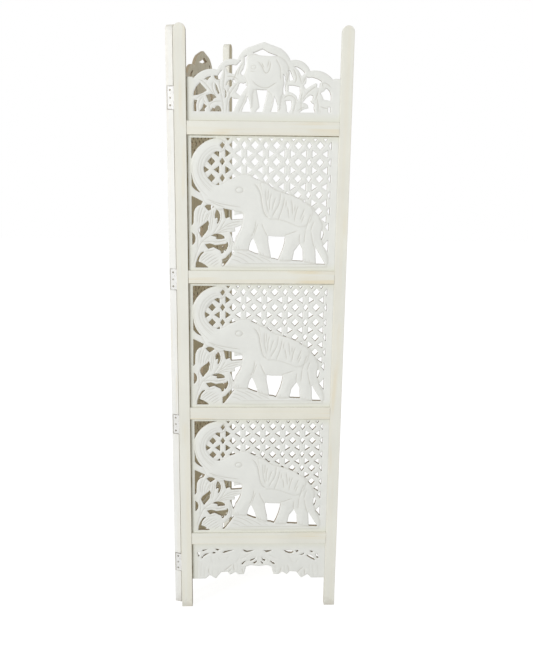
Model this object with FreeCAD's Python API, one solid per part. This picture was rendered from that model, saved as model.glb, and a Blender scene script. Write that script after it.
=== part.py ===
import FreeCAD, Part
import math
import os
from FreeCAD import Vector

os.makedirs("parts", exist_ok=True)

# Folding screen of two carved wooden leaves, in millimetres, +Z up.
# The leaves are made about the hinge line, X along the front leaf and +Y to the back of it.

# Leaf frame
leaf_width = 500.0
leaf_thickness = 22.0
stile_width = 34.0
rail_height = 38.0
leg_height = 226.0  # floor to the underside of the bottom rail
bay_height = 388.0  # clear height of each carved board
bay_count = 3

# Joinery
board_thickness = 11.0
groove_depth = 6.0
groove_clearance = 0.2
tenon_length = 20.0

# Crest and apron boards
crest_height = 212.0
apron_drop = 128.0
post_rise = 46.0  # of the posts' tops over the crest's point

# Lattice of the carved boards
lattice_pitch = 62.2
lattice_rise = 46.3
lattice_start = 69.3  # from the bay's left side to the first column of large diamonds
lattice_drop = 27.5  # from the bay's top to the first row
large_diamond_width = 20.0
large_diamond_height = 21.0
small_diamond_width = 12.4
small_diamond_height = 20.0
triangle_width = 14.0
triangle_height = 19.5
triangle_offset = 14.3  # from a column of large diamonds to the middle of a triangle

# Hinges
fold_angle = 71.0  # between the two leaves as they stand
hinge_offsets = (-80.0, -27.0, 6.0, 100.0)  # hinge's middle from its rail's underside, lowest rail first
plate_height = 64.0
plate_width = 19.0
plate_thickness = 1.6
plate_clearance = 0.6
knuckle_count = 3
knuckle_radius = 3.0
knuckle_setback = 3.5  # from the back of a leaf to the hinge line
knuckle_gap = 0.3
pin_radius = 1.5
pin_clearance = 0.05
leaf_gap = 1.0  # between the two leaves' edges when they stand in line

# Derived
bay_width = leaf_width - 2 * stile_width
bay_step = bay_height + rail_height
rail_bottoms = [leg_height + i * bay_step for i in range(bay_count + 1)]
crest_base = rail_bottoms[-1] + rail_height
leaf_height = crest_base + crest_height + post_rise
hinge_heights = [bottom + offset for bottom, offset in zip(rail_bottoms, hinge_offsets)]
tongue = groove_depth - groove_clearance
groove_width = board_thickness + 2 * groove_clearance
leaf_left = leaf_gap / 2
bay_left = leaf_left + stile_width
back_y = -knuckle_setback
front_y = back_y - leaf_thickness
middle_y = (front_y + back_y) / 2
board_y = middle_y - board_thickness / 2

# Outlines of the elephant board's openings: shares of the bay's width and height from its lower left corner.
# A point of four shares is an arc: the point that it passes, then its end.
lattice_zone_shares = (
    (0.249, 0.978), (0.951, 0.978), (0.951, 0.357), (0.903, 0.357), (0.868, 0.435), (0.83, 0.49),
    (0.762, 0.538), (0.674, 0.578), (0.581, 0.607), (0.535, 0.652), (0.48, 0.672), (0.405, 0.713),
    (0.34, 0.71), (0.23, 0.642), (0.176, 0.643), (0.12, 0.71), (0.109, 0.775), (0.14, 0.85),
    (0.2, 0.885), (0.225, 0.9), (0.216, 0.925),
)
trunk_gap_shares = (
    ((0.029, 0.978), (0.195, 0.978), (0.087, 0.923, 0.029, 0.826)),
    ((0.029, 0.729), (0.044, 0.652), (0.087, 0.583), (0.029, 0.632)),
)
plant_gap_shares = (
    ((0.028, 0.551), (0.103, 0.518), (0.048, 0.448), (0.028, 0.342)),
    ((0.195, 0.458), (0.185, 0.399), (0.203, 0.352), (0.22, 0.41)),
    ((0.143, 0.375), (0.13, 0.3), (0.09, 0.25), (0.077, 0.304)),
    ((0.159, 0.261), (0.202, 0.282), (0.245, 0.25), (0.193, 0.243)),
    ((0.319, 0.321), (0.361, 0.338), (0.313, 0.216), (0.288, 0.287)),
    ((0.117, 0.201), (0.184, 0.19), (0.269, 0.207), (0.262, 0.16), (0.236, 0.131), (0.211, 0.165)),
    ((0.029, 0.284), (0.058, 0.241), (0.029, 0.196)),
    ((0.11, 0.138), (0.076, 0.075), (0.133, 0.022), (0.049, 0.024), (0.065, 0.115)),
    ((0.309, 0.153), (0.234, 0.035), (0.231, 0.084)),
)
body_gap_shares = (
    ((0.239, 0.467), (0.309, 0.452), (0.31, 0.416), (0.37, 0.423), (0.369, 0.397), (0.257, 0.396)),
    ((0.438, 0.243), (0.464, 0.194), (0.475, 0.126), (0.41, 0.153), (0.417, 0.207)),
    ((0.542, 0.263), (0.656, 0.259), (0.645, 0.194), (0.61, 0.084), (0.562, 0.095), (0.543, 0.211)),
    ((0.756, 0.207), (0.779, 0.151), (0.782, 0.074), (0.707, 0.078)),
    ((0.863, 0.181), (0.934, 0.05), (0.87, 0.052)),
    ((0.95, 0.237), (0.95, 0.143), (0.915, 0.192)),
)
least_gap_share = 0.85  # a lattice hole with less than this share of its area in the zone stays solid

# Crest: shares of half the bay's width, from its middle, and of the crest's height
crest_half_shares = (
    (0.903, 0.536), (0.787, 0.631, 0.6, 0.649), (0.51, 0.757, 0.343, 0.776), (0.278, 0.875, 0.208, 0.927),
    (0.0, 1.0),
)
crest_shoulder_shares = (0.92, 0.555)
crest_gap_shares = (
    ((-0.134, 0.849), (-0.011, 0.912), (0.182, 0.833)),
    ((-0.211, 0.829), (-0.235, 0.755), (-0.258, 0.582), (-0.285, 0.597), (-0.245, 0.786)),
    ((-0.489, 0.689), (-0.35, 0.708), (-0.292, 0.763), (-0.358, 0.605), (-0.42, 0.605)),
    ((-0.816, 0.484), (-0.731, 0.388), (-0.813, 0.318), (-0.898, 0.314)),
    ((-0.736, 0.333), (-0.682, 0.343), (-0.61, 0.291), (-0.705, 0.239)),
    ((-0.682, 0.121), (-0.59, 0.197), (-0.546, 0.121)),
    ((-0.443, 0.307), (-0.327, 0.286), (-0.389, 0.121), (-0.451, 0.121)),
    ((-0.312, 0.456), (-0.219, 0.487), (-0.304, 0.322), (-0.358, 0.362)),
    ((-0.281, 0.121), (-0.211, 0.314), (-0.168, 0.121)),
    ((-0.088, 0.404), (0.051, 0.401), (-0.003, 0.121), (-0.103, 0.121), (-0.054, 0.181)),
    ((0.147, 0.322), (0.19, 0.121), (0.1, 0.121)),
    ((0.403, 0.703), (0.534, 0.626), (0.491, 0.585)),
    ((0.329, 0.464), (0.471, 0.443), (0.465, 0.283), (0.329, 0.393)),
    ((0.285, 0.267), (0.363, 0.264), (0.344, 0.121), (0.31, 0.121)),
    ((0.557, 0.569), (0.748, 0.519), (0.711, 0.432), (0.529, 0.425)),
    ((0.818, 0.436), (0.877, 0.362), (0.881, 0.27), (0.795, 0.275)),
    ((0.545, 0.267), (0.606, 0.346), (0.66, 0.204), (0.676, 0.121), (0.48, 0.121), (0.591, 0.189)),
)

# Apron: shares of half the bay's width, from its middle, and of the apron's drop below the rail
apron_half_shares = (
    (0.797, 1.0), (0.738, 0.9), (0.645, 1.0), (0.566, 0.825), (0.472, 0.81), (0.427, 0.895), (0.352, 0.82),
    (0.302, 0.89), (0.222, 0.883), (0.19, 0.672), (0.125, 0.629), (0.0, 0.66),
)
apron_gap_shares = (
    ((-0.235, 0.193), (-0.173, 0.229), (-0.073, 0.201), (-0.168, 0.266)),
    ((0.062, 0.206), (0.198, 0.208), (0.113, 0.266)),
    ((0.383, 0.221), (0.506, 0.245), (0.506, 0.292), (0.421, 0.276)),
    ((-0.381, 0.201), (-0.535, 0.271), (-0.471, 0.245)),
    ((-0.852, 0.417), (-0.806, 0.312), (-0.739, 0.281), (-0.798, 0.344)),
    ((0.727, 0.349), (0.807, 0.383), (0.85, 0.5), (0.776, 0.427)),
    ((-0.261, 0.596), (-0.242, 0.531), (-0.193, 0.5), (-0.227, 0.573)),
    ((0.182, 0.513), (0.248, 0.596), (0.213, 0.594)),
)


def box(x0, x1, y0, y1, z0, z1):
    """Block between two corners."""
    return Part.makeBox(x1 - x0, y1 - y0, z1 - z0, Vector(x0, y0, z0))


def wire(points, place):
    """Closed outline in the XZ plane: lines, and arcs where a point has four shares."""
    ends = [place(*p[-2:]) for p in points]
    edges = []
    for i, point in enumerate(points):
        start = ends[i - 1]
        if len(point) == 4:
            edges.append(Part.Arc(start, place(*point[:2]), ends[i]).toShape())
        else:
            edges.append(Part.makeLine(start, ends[i]))
    return Part.Wire(edges)


def board(outline, openings):
    """Flat board with its openings sawn right through."""
    face = Part.makeFace([outline] + openings, "Part::FaceMakerBullseye")
    return face.extrude(Vector(0, board_thickness, 0))


# Posts: full-height stiles with half-round tops, grooved and mortised on the inner edge
def stile():
    """Left-hand stile with its outer edge at x = 0 and its inner edge towards +X."""
    radius = stile_width / 2
    shoulder = leaf_height - radius
    shaft = box(0, stile_width, front_y, back_y, 0, shoulder)
    top = Part.makeCylinder(radius, leaf_thickness, Vector(radius, front_y, shoulder), Vector(0, 1, 0))
    body = shaft.fuse(top).removeSplitter()
    groove_bottom = leg_height - apron_drop
    groove_top = crest_base + crest_shoulder_shares[1] * crest_height
    groove_side = middle_y - groove_width / 2
    sides = groove_side, groove_side + groove_width
    cuts = [box(stile_width - groove_depth, stile_width, *sides, groove_bottom, groove_top)]
    for bottom in rail_bottoms:
        cuts.append(box(stile_width - tenon_length - groove_clearance, stile_width, *sides,
                        bottom + groove_depth, bottom + rail_height - groove_depth))
    return body.cut(Part.makeCompound(cuts))


def hinge_recesses():
    """Recesses for the four plates, in an outer edge at x = 0."""
    cuts = []
    for height in hinge_heights:
        half = plate_height / 2 + plate_clearance
        cuts.append(box(0, plate_thickness, back_y - plate_width - plate_clearance, back_y,
                        height - half, height + half))
    return Part.makeCompound(cuts)


# Rails: tenons between the grooves, shoulders against the stiles
def rail(bottom):
    """Cross rail whose lower edge is at the height given."""
    right = bay_left + bay_width
    top = bottom + rail_height
    body = box(bay_left, right, front_y, back_y, bottom, top)
    side = middle_y - groove_width / 2
    for z0, z1 in ((bottom, bottom + groove_depth), (top - groove_depth, top)):
        body = body.cut(box(bay_left, right, side, side + groove_width, z0, z1))
    tenon = box(bay_left - tenon_length, right + tenon_length, board_y, board_y + board_thickness,
                bottom + groove_depth, top - groove_depth)
    return body.fuse(tenon).removeSplitter()


# Carved boards: a lattice round a standing elephant, with leaves at its feet
def lattice_holes(place):
    """Diamonds and triangles of the lattice, left out along the elephant's back and trunk."""
    zone = Part.Face(wire(lattice_zone_shares, place))
    kept = []
    for x, z, outline in lattice_cells():
        points = [Vector(x + dx, board_y, z + dz) for dx, dz in outline]
        hole = Part.Face(Part.makePolygon(points + points[:1]))
        if hole.common(zone).Area > least_gap_share * hole.Area:
            kept.append(hole.OuterWire)
    return kept


def lattice_cells():
    """Centre and outline of every hole of the full lattice, from the bay's left side and its top."""
    flat_x, flat_z = triangle_width / 2, triangle_height / 2
    left = (-flat_x, 0), (flat_x, flat_z), (flat_x, -flat_z)
    right = [(-dx, dz) for dx, dz in left]
    cells = []
    columns = math.ceil(bay_width / lattice_pitch)
    rows = math.ceil(bay_height / lattice_rise)
    for column in range(-1, columns):
        x = lattice_start + column * lattice_pitch
        for row in range(rows):
            z = bay_height - lattice_drop - row * lattice_rise
            cells.append((x, z, diamond(large_diamond_width, large_diamond_height)))
            cells.append((x + lattice_pitch / 2, z, diamond(small_diamond_width, small_diamond_height)))
            cells.append((x - triangle_offset, z - lattice_rise / 2, right))
            cells.append((x + triangle_offset, z - lattice_rise / 2, left))
    return cells


def diamond(width, height):
    """Corners of an upright diamond about its centre."""
    return [(-width / 2, 0), (0, height / 2), (width / 2, 0), (0, -height / 2)]


def elephant_board():
    """Pierced board with its tongues, standing in a bay whose lower left corner is at x = 0, z = 0."""
    def place(x_share, z_share):
        return Vector(x_share * bay_width, board_y, z_share * bay_height)
    corners = [(-tongue, -tongue), (bay_width + tongue, -tongue), (bay_width + tongue, bay_height + tongue),
               (-tongue, bay_height + tongue)]
    points = [Vector(x, board_y, z) for x, z in corners]
    outline = Part.makePolygon(points + points[:1])
    openings = [wire(shares, place) for shares in trunk_gap_shares + plant_gap_shares + body_gap_shares]
    return board(outline, openings + lattice_holes(place))


def mirrored(half_shares):
    """Outline points from the right half to the left half of a board that is alike on both sides."""
    points = list(half_shares)
    ends = [p[-2:] for p in half_shares]
    for i in range(len(half_shares) - 1, 0, -1):
        x, z = ends[i - 1]
        if len(half_shares[i]) == 4:
            mid_x, mid_z = half_shares[i][:2]
            points.append((-mid_x, mid_z, -x, z))
        else:
            points.append((-x, z))
    return points


def crest_board():
    """Cusped arch over the top rail, with tongues into the rail and both stiles."""
    middle = bay_width / 2

    def place(x_share, z_share):
        return Vector(middle + x_share * middle, board_y, crest_base + z_share * crest_height)
    edge_share = 1 + tongue / middle
    foot_share = -tongue / crest_height
    shoulder_x, shoulder_z = crest_shoulder_shares
    points = [(edge_share, foot_share), (edge_share, shoulder_z), (shoulder_x, shoulder_z)]
    points += mirrored(crest_half_shares)
    points += [(-shoulder_x, shoulder_z), (-edge_share, shoulder_z), (-edge_share, foot_share)]
    return board(wire(points, place), [wire(shares, place) for shares in crest_gap_shares])


def apron_board():
    """Scalloped board under the bottom rail, with tongues into the rail and both stiles."""
    middle = bay_width / 2

    def place(x_share, z_share):
        return Vector(middle + x_share * middle, board_y, leg_height - z_share * apron_drop)
    edge_share = 1 + tongue / middle
    top_share = -tongue / apron_drop
    points = [(edge_share, top_share), (edge_share, 1)] + mirrored(apron_half_shares)
    points += [(-edge_share, 1), (-edge_share, top_share)]
    return board(wire(points, place), [wire(shares, place) for shares in apron_gap_shares])


# Hinges: plates let into the leaves' edges, knuckles turning on a pin behind them
def knuckle_spans():
    """Lower and upper end of the three knuckles, from the plate's middle."""
    length = plate_height / knuckle_count
    half = knuckle_gap / 2
    return [(-plate_height / 2, -length / 2 - half), (-length / 2 + half, length / 2 - half),
            (length / 2 + half, plate_height / 2)]


def hinge_plate(height, spans, bored):
    """Plate of the front leaf's side about the hinge line, with a knuckle over each span."""
    bottom = height - plate_height / 2
    sides = leaf_left, leaf_left + plate_thickness
    body = box(*sides, back_y - plate_width, back_y, bottom, bottom + plate_height)
    for low, high in spans:
        length = high - low
        strip = box(*sides, back_y, 0, height + low, height + high)
        barrel = Part.makeCylinder(knuckle_radius, length, Vector(0, 0, height + low))
        body = body.fuse([strip, barrel]).removeSplitter()
        if bored:
            body = body.cut(Part.makeCylinder(pin_radius + pin_clearance, length, Vector(0, 0, height + low)))
    return body


def hinge_pin(height, span):
    """Pin between the front leaf's two closed knuckles, through the bored one of the rear leaf."""
    low, high = (end + side * knuckle_gap for end, side in zip(span, (-1, 1)))
    return Part.makeCylinder(pin_radius, high - low, Vector(0, 0, height + low))


def leaf(hinge_on_left):
    """The eleven wooden pieces of one leaf, its left edge beside the hinge line."""
    plain = stile()
    plain.translate(Vector(leaf_left, 0, 0))
    recesses = hinge_recesses()
    recesses.translate(Vector(leaf_left, 0, 0))
    middle = leaf_left + leaf_width / 2
    left = plain.cut(recesses) if hinge_on_left else plain
    right = plain if hinge_on_left else plain.cut(recesses)
    right = right.mirror(Vector(middle, 0, 0), Vector(1, 0, 0))
    pieces = {"hinge_stile": left if hinge_on_left else right, "free_stile": right if hinge_on_left else left}
    for name, bottom in zip(("bottom_rail", "lower_rail", "upper_rail", "top_rail"), rail_bottoms):
        pieces[name] = rail(bottom)
    carved = elephant_board()
    for name, bottom in zip(("lower_board", "middle_board", "upper_board"), rail_bottoms):
        pieces[name] = carved.translated(Vector(bay_left, 0, bottom + rail_height))
    pieces["crest_board"] = crest_board().translated(Vector(bay_left, 0, 0))
    pieces["apron_board"] = apron_board().translated(Vector(bay_left, 0, 0))
    return pieces


def front_leaf():
    """Front leaf, right of the hinge line, with its plates and the pins."""
    pieces = {"front_" + name: shape for name, shape in leaf(True).items()}
    low, middle, high = knuckle_spans()
    for number, height in enumerate(hinge_heights, 1):
        pieces[f"front_hinge_plate_{number}"] = hinge_plate(height, (low, high), False)
        pieces[f"hinge_pin_{number}"] = hinge_pin(height, middle)
    return pieces


def rear_leaf():
    """Rear leaf, made in line to the left of the hinge line and then folded back about it."""
    pieces = {}
    for name, shape in leaf(False).items():
        pieces["rear_" + name] = shape.translated(Vector(-leaf_width - leaf_gap, 0, 0))
    middle = knuckle_spans()[1]
    for number, height in enumerate(hinge_heights, 1):
        plate = hinge_plate(height, (middle,), True)
        pieces[f"rear_hinge_plate_{number}"] = plate.mirror(Vector(0, 0, 0), Vector(1, 0, 0))
    turn = fold_angle - 180
    for shape in pieces.values():
        shape.rotate(Vector(0, 0, 0), Vector(0, 0, 1), turn)
    return pieces


pieces = front_leaf()
pieces.update(rear_leaf())

# The origin is on the floor, in the middle of the space that the folded screen takes
extent = Part.makeCompound(list(pieces.values())).BoundBox
shift = Vector(-extent.Center.x, -extent.Center.y, 0)
for name, shape in pieces.items():
    placed = shape.translated(shift)
    placed.exportStep(f"parts/{name}.step")
print("hinge line at", round(shift.x, 4), round(shift.y, 4))
print("size", round(extent.XLength, 3), round(extent.YLength, 3), round(extent.ZLength, 3))
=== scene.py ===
import bmesh
import bpy
import math
import numpy as np
from mathutils import Matrix, Vector
from mathutils.geometry import delaunay_2d_cdt
from mathutils.kdtree import KDTree


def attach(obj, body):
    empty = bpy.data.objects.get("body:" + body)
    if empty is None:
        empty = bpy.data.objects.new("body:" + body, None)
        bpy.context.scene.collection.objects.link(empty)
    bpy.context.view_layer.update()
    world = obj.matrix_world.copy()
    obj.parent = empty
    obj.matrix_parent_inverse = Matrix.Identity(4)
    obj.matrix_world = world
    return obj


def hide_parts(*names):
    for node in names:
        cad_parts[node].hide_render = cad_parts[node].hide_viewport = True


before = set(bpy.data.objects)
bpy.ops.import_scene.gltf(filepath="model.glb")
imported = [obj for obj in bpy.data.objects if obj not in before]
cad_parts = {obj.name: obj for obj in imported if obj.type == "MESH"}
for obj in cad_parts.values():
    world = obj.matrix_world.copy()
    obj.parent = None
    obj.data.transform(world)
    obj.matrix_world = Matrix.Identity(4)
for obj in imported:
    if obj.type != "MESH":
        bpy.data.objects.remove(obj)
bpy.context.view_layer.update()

# Viewpoint and studio: the screen stands on a pale floor in a white room, lit softly from the upper left.
# The camera is where the photograph was taken from, about 1.5 m up and looking a little down.
# Only camera, mirror and glass rays see the white of the room, so it doesn't wash out the carving.
eye = Vector((-0.0581, -2.4801, 1.4970))
eye_turn = math.radians(-2.216)
eye_pitch = math.radians(13.781)
eye_roll = math.radians(0.682)
level = Vector((-math.sin(eye_turn), math.cos(eye_turn), 0))
across = Vector((math.cos(eye_turn), math.sin(eye_turn), 0))
ahead = math.cos(eye_pitch) * level - Vector((0, 0, math.sin(eye_pitch)))
above = math.sin(eye_pitch) * level + Vector((0, 0, math.cos(eye_pitch)))
right = math.cos(eye_roll) * across + math.sin(eye_roll) * above
up = math.cos(eye_roll) * above - math.sin(eye_roll) * across
camera_data = bpy.data.cameras.new("camera")
camera_data.sensor_width = 36
camera_data.lens = 42.3
camera = bpy.data.objects.new("camera", camera_data)
bpy.context.collection.objects.link(camera)
axes = Matrix((right, up, -ahead)).transposed()
camera.matrix_world = Matrix.Translation(eye) @ axes.to_4x4()
bpy.context.scene.camera = camera
bpy.context.scene.view_settings.view_transform = "Standard"


def fill_inputs(tree, node, values):
    """Node whose inputs, by name or number, are set to values or linked to sockets."""
    for label, value in values.items():
        if isinstance(value, bpy.types.NodeSocket):
            tree.links.new(value, node.inputs[label])
        else:
            node.inputs[label].default_value = value
    return node


def add_node(tree, kind, values=(), **settings):
    """Node of a kind, with its settings made and its inputs filled."""
    node = tree.nodes.new(kind)
    for label, value in settings.items():
        setattr(node, label, value)
    return fill_inputs(tree, node, dict(values))


def calculate(tree, operation, first, second):
    """Math on two values, each a socket or a number."""
    return add_node(tree, "ShaderNodeMath", {0: first, 1: second}, operation=operation).outputs["Value"]


room_light = 0.58
world = bpy.data.worlds.new("room")
bpy.context.scene.world = world
world.use_nodes = True
room = world.node_tree
room.nodes.clear()
rays = add_node(room, "ShaderNodeLightPath").outputs
camera_or_glossy = calculate(room, "MAXIMUM", rays["Is Camera Ray"], rays["Is Glossy Ray"])
sees_white = calculate(room, "MAXIMUM", camera_or_glossy, rays["Is Transmission Ray"])
soft_room = add_node(room, "ShaderNodeBackground", {"Color": (1.0, 1.0, 0.985, 1), "Strength": room_light})
white_room = add_node(room, "ShaderNodeBackground", {"Color": (1, 1, 1, 1)})
room_mix = add_node(room, "ShaderNodeMixShader", {
    "Fac": sees_white, 1: soft_room.outputs["Background"], 2: white_room.outputs["Background"]})
add_node(room, "ShaderNodeOutputWorld", {"Surface": room_mix.outputs["Shader"]})


def lamp(name, place, target, size, power, color):
    """Square soft lamp at a place, facing a point."""
    data = bpy.data.lights.new(name, "AREA")
    data.shape = "SQUARE"
    data.size = size
    data.energy = power
    data.color = color
    light = bpy.data.objects.new(name, data)
    bpy.context.collection.objects.link(light)
    light.location = place
    light.rotation_euler = (Vector(target) - Vector(place)).to_track_quat("-Z", "Y").to_euler()


lamp("key", (-7.2, -5.6, 2.7), (0, -0.1, 0.75), 2.4, 445, (0.98, 0.985, 1.0))
lamp("fill", (2.8, -4.2, 0.6), (0, -0.1, 0.6), 2.4, 40, (1.0, 0.99, 0.97))

floor_reach = 9.0
floor_mesh = bpy.data.meshes.new("floor")
floor_corners = [(floor_reach * x, floor_reach * y, 0) for x, y in ((-1, -1), (1, -1), (1, 1), (-1, 1))]
floor_mesh.from_pydata(floor_corners, [], [(0, 1, 2, 3)])
floor = bpy.data.objects.new("floor", floor_mesh)
bpy.context.collection.objects.link(floor)
floor_paint = bpy.data.materials.new("floor_paint")
floor_paint.use_nodes = True
floor_tree = floor_paint.node_tree
floor_tree.nodes.clear()
floor_rays = add_node(floor_tree, "ShaderNodeLightPath").outputs
floor_body = add_node(floor_tree, "ShaderNodeBsdfDiffuse", {"Color": (0.62, 0.62, 0.61, 1)})
floor_shade = add_node(floor_tree, "ShaderNodeBsdfDiffuse", {"Color": (0.34, 0.34, 0.34, 1)})
floor_glow = add_node(floor_tree, "ShaderNodeEmission", {"Color": (0.84, 0.84, 0.84, 1)})
floor_seen = add_node(floor_tree, "ShaderNodeAddShader", {
    0: floor_shade.outputs["BSDF"], 1: floor_glow.outputs["Emission"]})
floor_mix = add_node(floor_tree, "ShaderNodeMixShader", {
    "Fac": floor_rays["Is Camera Ray"], 1: floor_body.outputs["BSDF"], 2: floor_seen.outputs["Shader"]})
add_node(floor_tree, "ShaderNodeOutputMaterial", {"Surface": floor_mix.outputs["Shader"]})
floor_mesh.materials.append(floor_paint)


# Posts: four wooden stiles, 34 by 22 mm and 1.8 m long, with half-round tops and eased edges.
# They are sawn, mortised for the rails, grooved for the boards and brushed with a thin white wash,
# through which the wood shows in warm streaks. The ends on the floor are scuffed and grubby.
post_edge = 0.0011
widest_round = 4e-4  # faces larger than this, in square metres, are flat; smaller ones belong to a rounding
flat_join = math.radians(0.5)
eased_corner = math.radians(30)
hard_corner = math.radians(40)
square_on = 0.7  # a face looks a certain way when this much of its normal does
slanting = 0.35
rail_reach = 0.216  # from the middle of a rail to the posts
leaves = ("front", "rear")
back_wash = (0.565, 0.485, 0.305)  # thinner on the backs, so the brown wood shows
# painted light: the faces that look towards the other leaf are whiter and cooler, standing in for cool light
# from the left
meeting_side_light = (0.815, 0.815, 0.79)
# painted shade: the hinge posts' inner sides, which face away from the key lamp, are painted dark brown
inner_side_shade = (0.20, 0.165, 0.11)
wash_white = (0.800, 0.795, 0.725)
wash_warm = (0.775, 0.690, 0.500)
grime_color = (0.30, 0.25, 0.19)
edge_color = (0.60, 0.50, 0.34)

hinge_line = Vector((-238.276 / 1000, -228.017 / 1000, 0))
fold_degrees = 71  # between the leaves
fold = math.radians(fold_degrees - 180)
leaf_step = -501.0 / 1000  # from the front leaf to the rear one when they stand in line
leaf_turns = {"front": Matrix.Identity(4), "rear": Matrix.Rotation(fold, 4, "Z")}
leaf_places = {
    "front": Matrix.Identity(4),
    "rear": Matrix.Translation(hinge_line) @ leaf_turns["rear"] @ Matrix.Translation(
        Vector((leaf_step, 0, 0)) - hinge_line)}


def new_group(name, inputs, outputs, kind="ShaderNodeTree"):
    """Node group: returns its tree, its input sockets by name and its output node.

    Each input is a number, or the word for its kind of socket, and each output is such a word."""
    tree = bpy.data.node_groups.new(name, kind)
    for label, value in inputs.items():
        word = value if isinstance(value, str) else "Float"
        socket = tree.interface.new_socket(name=label, in_out="INPUT", socket_type=f"NodeSocket{word}")
        if word != value:
            socket.default_value = value
    for label, word in outputs.items():
        tree.interface.new_socket(name=label, in_out="OUTPUT", socket_type=f"NodeSocket{word}")
    return tree, tree.nodes.new("NodeGroupInput").outputs, tree.nodes.new("NodeGroupOutput")


def noise(tree, vector, scale, detail, roughness=0.5):
    """Noise texture whose value is read from Fac."""
    return add_node(tree, "ShaderNodeTexNoise", {
        "Vector": vector, "Scale": scale, "Detail": detail, "Roughness": roughness}).outputs["Fac"]


def stretched(tree, vector, scale):
    """Vector scaled, so that a pattern runs along the wood."""
    return add_node(tree, "ShaderNodeMapping", {"Vector": vector, "Scale": scale}).outputs["Vector"]


def turned(tree, vector, turns):
    """Vector turned about the three axes."""
    return add_node(tree, "ShaderNodeMapping", {"Vector": vector, "Rotation": turns}).outputs["Vector"]


def spread(tree, value, low, high, to_low=0.0, to_high=1.0):
    """Value brought from one range to another and clamped."""
    node = add_node(tree, "ShaderNodeMapRange", {
        "Value": value, "From Min": low, "From Max": high, "To Min": to_low, "To Max": to_high})
    return node.outputs["Result"]


def apart(tree, vector):
    """The three parts of a vector."""
    return add_node(tree, "ShaderNodeSeparateXYZ", {"Vector": vector}).outputs


def blend_color(tree, fac, first, second):
    """Colour mix; each colour is a socket or three numbers."""
    node = add_node(tree, "ShaderNodeMix", data_type="RGBA")
    used = [number for number, socket in enumerate(node.inputs) if socket.enabled]
    colors = [(*color, 1) if isinstance(color, tuple) else color for color in (first, second)]
    fill_inputs(tree, node, dict(zip(used, (fac, *colors))))
    return [s for s in node.outputs if s.enabled][0]


def toned(tree, color, value):
    """Colour made lighter or darker."""
    return add_node(tree, "ShaderNodeHueSaturation", {"Color": color, "Value": value}).outputs["Color"]


def make_grain_group():
    """Pores and broad streaks that run along the Z axis of the vector given."""
    tree, enter, leave = new_group("wood_grain", {"Vector": "Vector"}, {
        "Pores": "Float", "Streaks": "Float", "Height": "Float"})
    base = enter["Vector"]
    fine = noise(tree, stretched(tree, base, (620, 620, 14)), 1.0, 3.0, 0.6)
    broad = noise(tree, stretched(tree, base, (62, 62, 2.1)), 1.0, 3.0, 0.55)
    patches = noise(tree, stretched(tree, base, (16, 16, 4.2)), 1.0, 2.0)
    bands = noise(tree, stretched(tree, base, (44, 44, 0.8)), 1.0, 2.0)
    pores = spread(tree, fine, 0.56, 0.72)
    streaks = calculate(tree, "MULTIPLY", spread(tree, broad, 0.47, 0.66), spread(tree, patches, 0.47, 0.64))
    streaks = calculate(tree, "MAXIMUM", streaks, spread(tree, bands, 0.44, 0.62, 0.0, 0.30))
    swell = calculate(tree, "MULTIPLY", broad, 0.6)
    height = calculate(tree, "SUBTRACT", swell, calculate(tree, "MULTIPLY", pores, 0.5))
    fill_inputs(tree, leave, {"Pores": pores, "Streaks": streaks, "Height": height})
    return tree


def make_wash_group():
    """Thin white wash: the wood's warm colour shows in streaks, at worn edges and in the pores."""
    tree, enter, leave = new_group("white_wash", {
        "Vector": "Vector", "Wash": "Color", "Wood": "Color", "Worn": "Color", "Streaks": 0.0, "Pores": 0.0,
        "Edge": 0.0, "Streak Amount": 0.6, "Edge Amount": 0.3}, {"Color": "Color", "Roughness": "Float"})
    cloud = noise(tree, enter["Vector"], 7.0, 3.0)
    scuffs = noise(tree, enter["Vector"], 90.0, 4.0, 0.65)
    warm = calculate(tree, "MULTIPLY", enter["Streaks"], enter["Streak Amount"])
    color = blend_color(tree, warm, enter["Wash"], enter["Wood"])
    thin = calculate(tree, "MULTIPLY", enter["Pores"], 0.10)
    color = blend_color(tree, thin, color, enter["Wood"])
    worn = calculate(tree, "MULTIPLY", enter["Edge"], spread(tree, scuffs, 0.46, 0.62))
    color = blend_color(tree, calculate(tree, "MULTIPLY", worn, enter["Edge Amount"]), color, enter["Worn"])
    fill_inputs(tree, leave, {
        "Color": toned(tree, color, spread(tree, cloud, 0.3, 0.7, 0.97, 1.03)),
        "Roughness": spread(tree, scuffs, 0.35, 0.65, 0.46, 0.62)})
    return tree


def make_grime_group():
    """Grubby mask that is strong at the floor and fades out above it, broken up by noise."""
    tree, enter, leave = new_group("floor_grime", {"Vector": "Vector", "Height": 0.03, "Amount": 0.5}, {
        "Mask": "Float"})
    blotch = noise(tree, enter["Vector"], 55.0, 4.0, 0.6)
    reach = calculate(tree, "MULTIPLY", enter["Height"], spread(tree, blotch, 0.3, 0.7, 0.25, 1.6))
    off_floor = calculate(tree, "DIVIDE", apart(tree, enter["Vector"])["Z"], reach)
    mask = spread(tree, calculate(tree, "SUBTRACT", 1.0, off_floor), 0.0, 0.9)
    fill_inputs(tree, leave, {"Mask": calculate(tree, "MULTIPLY", mask, enter["Amount"])})
    return tree


def make_edge_group():
    """Mask that is full on a piece's long edges and fades over the reach."""
    tree, enter, leave = new_group("worn_edge", {"Place": "Vector", "Reach": 0.003}, {"Mask": "Float"})
    parts = apart(tree, enter["Place"])
    inward = calculate(tree, "SUBTRACT", parts["Y"], calculate(tree, "ABSOLUTE", parts["X"], 0.0))
    fade = calculate(tree, "SUBTRACT", 1.0, calculate(tree, "DIVIDE", inward, enter["Reach"]))
    fill_inputs(tree, leave, {"Mask": spread(tree, fade, 0.0, 1.0)})
    return tree


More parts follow.
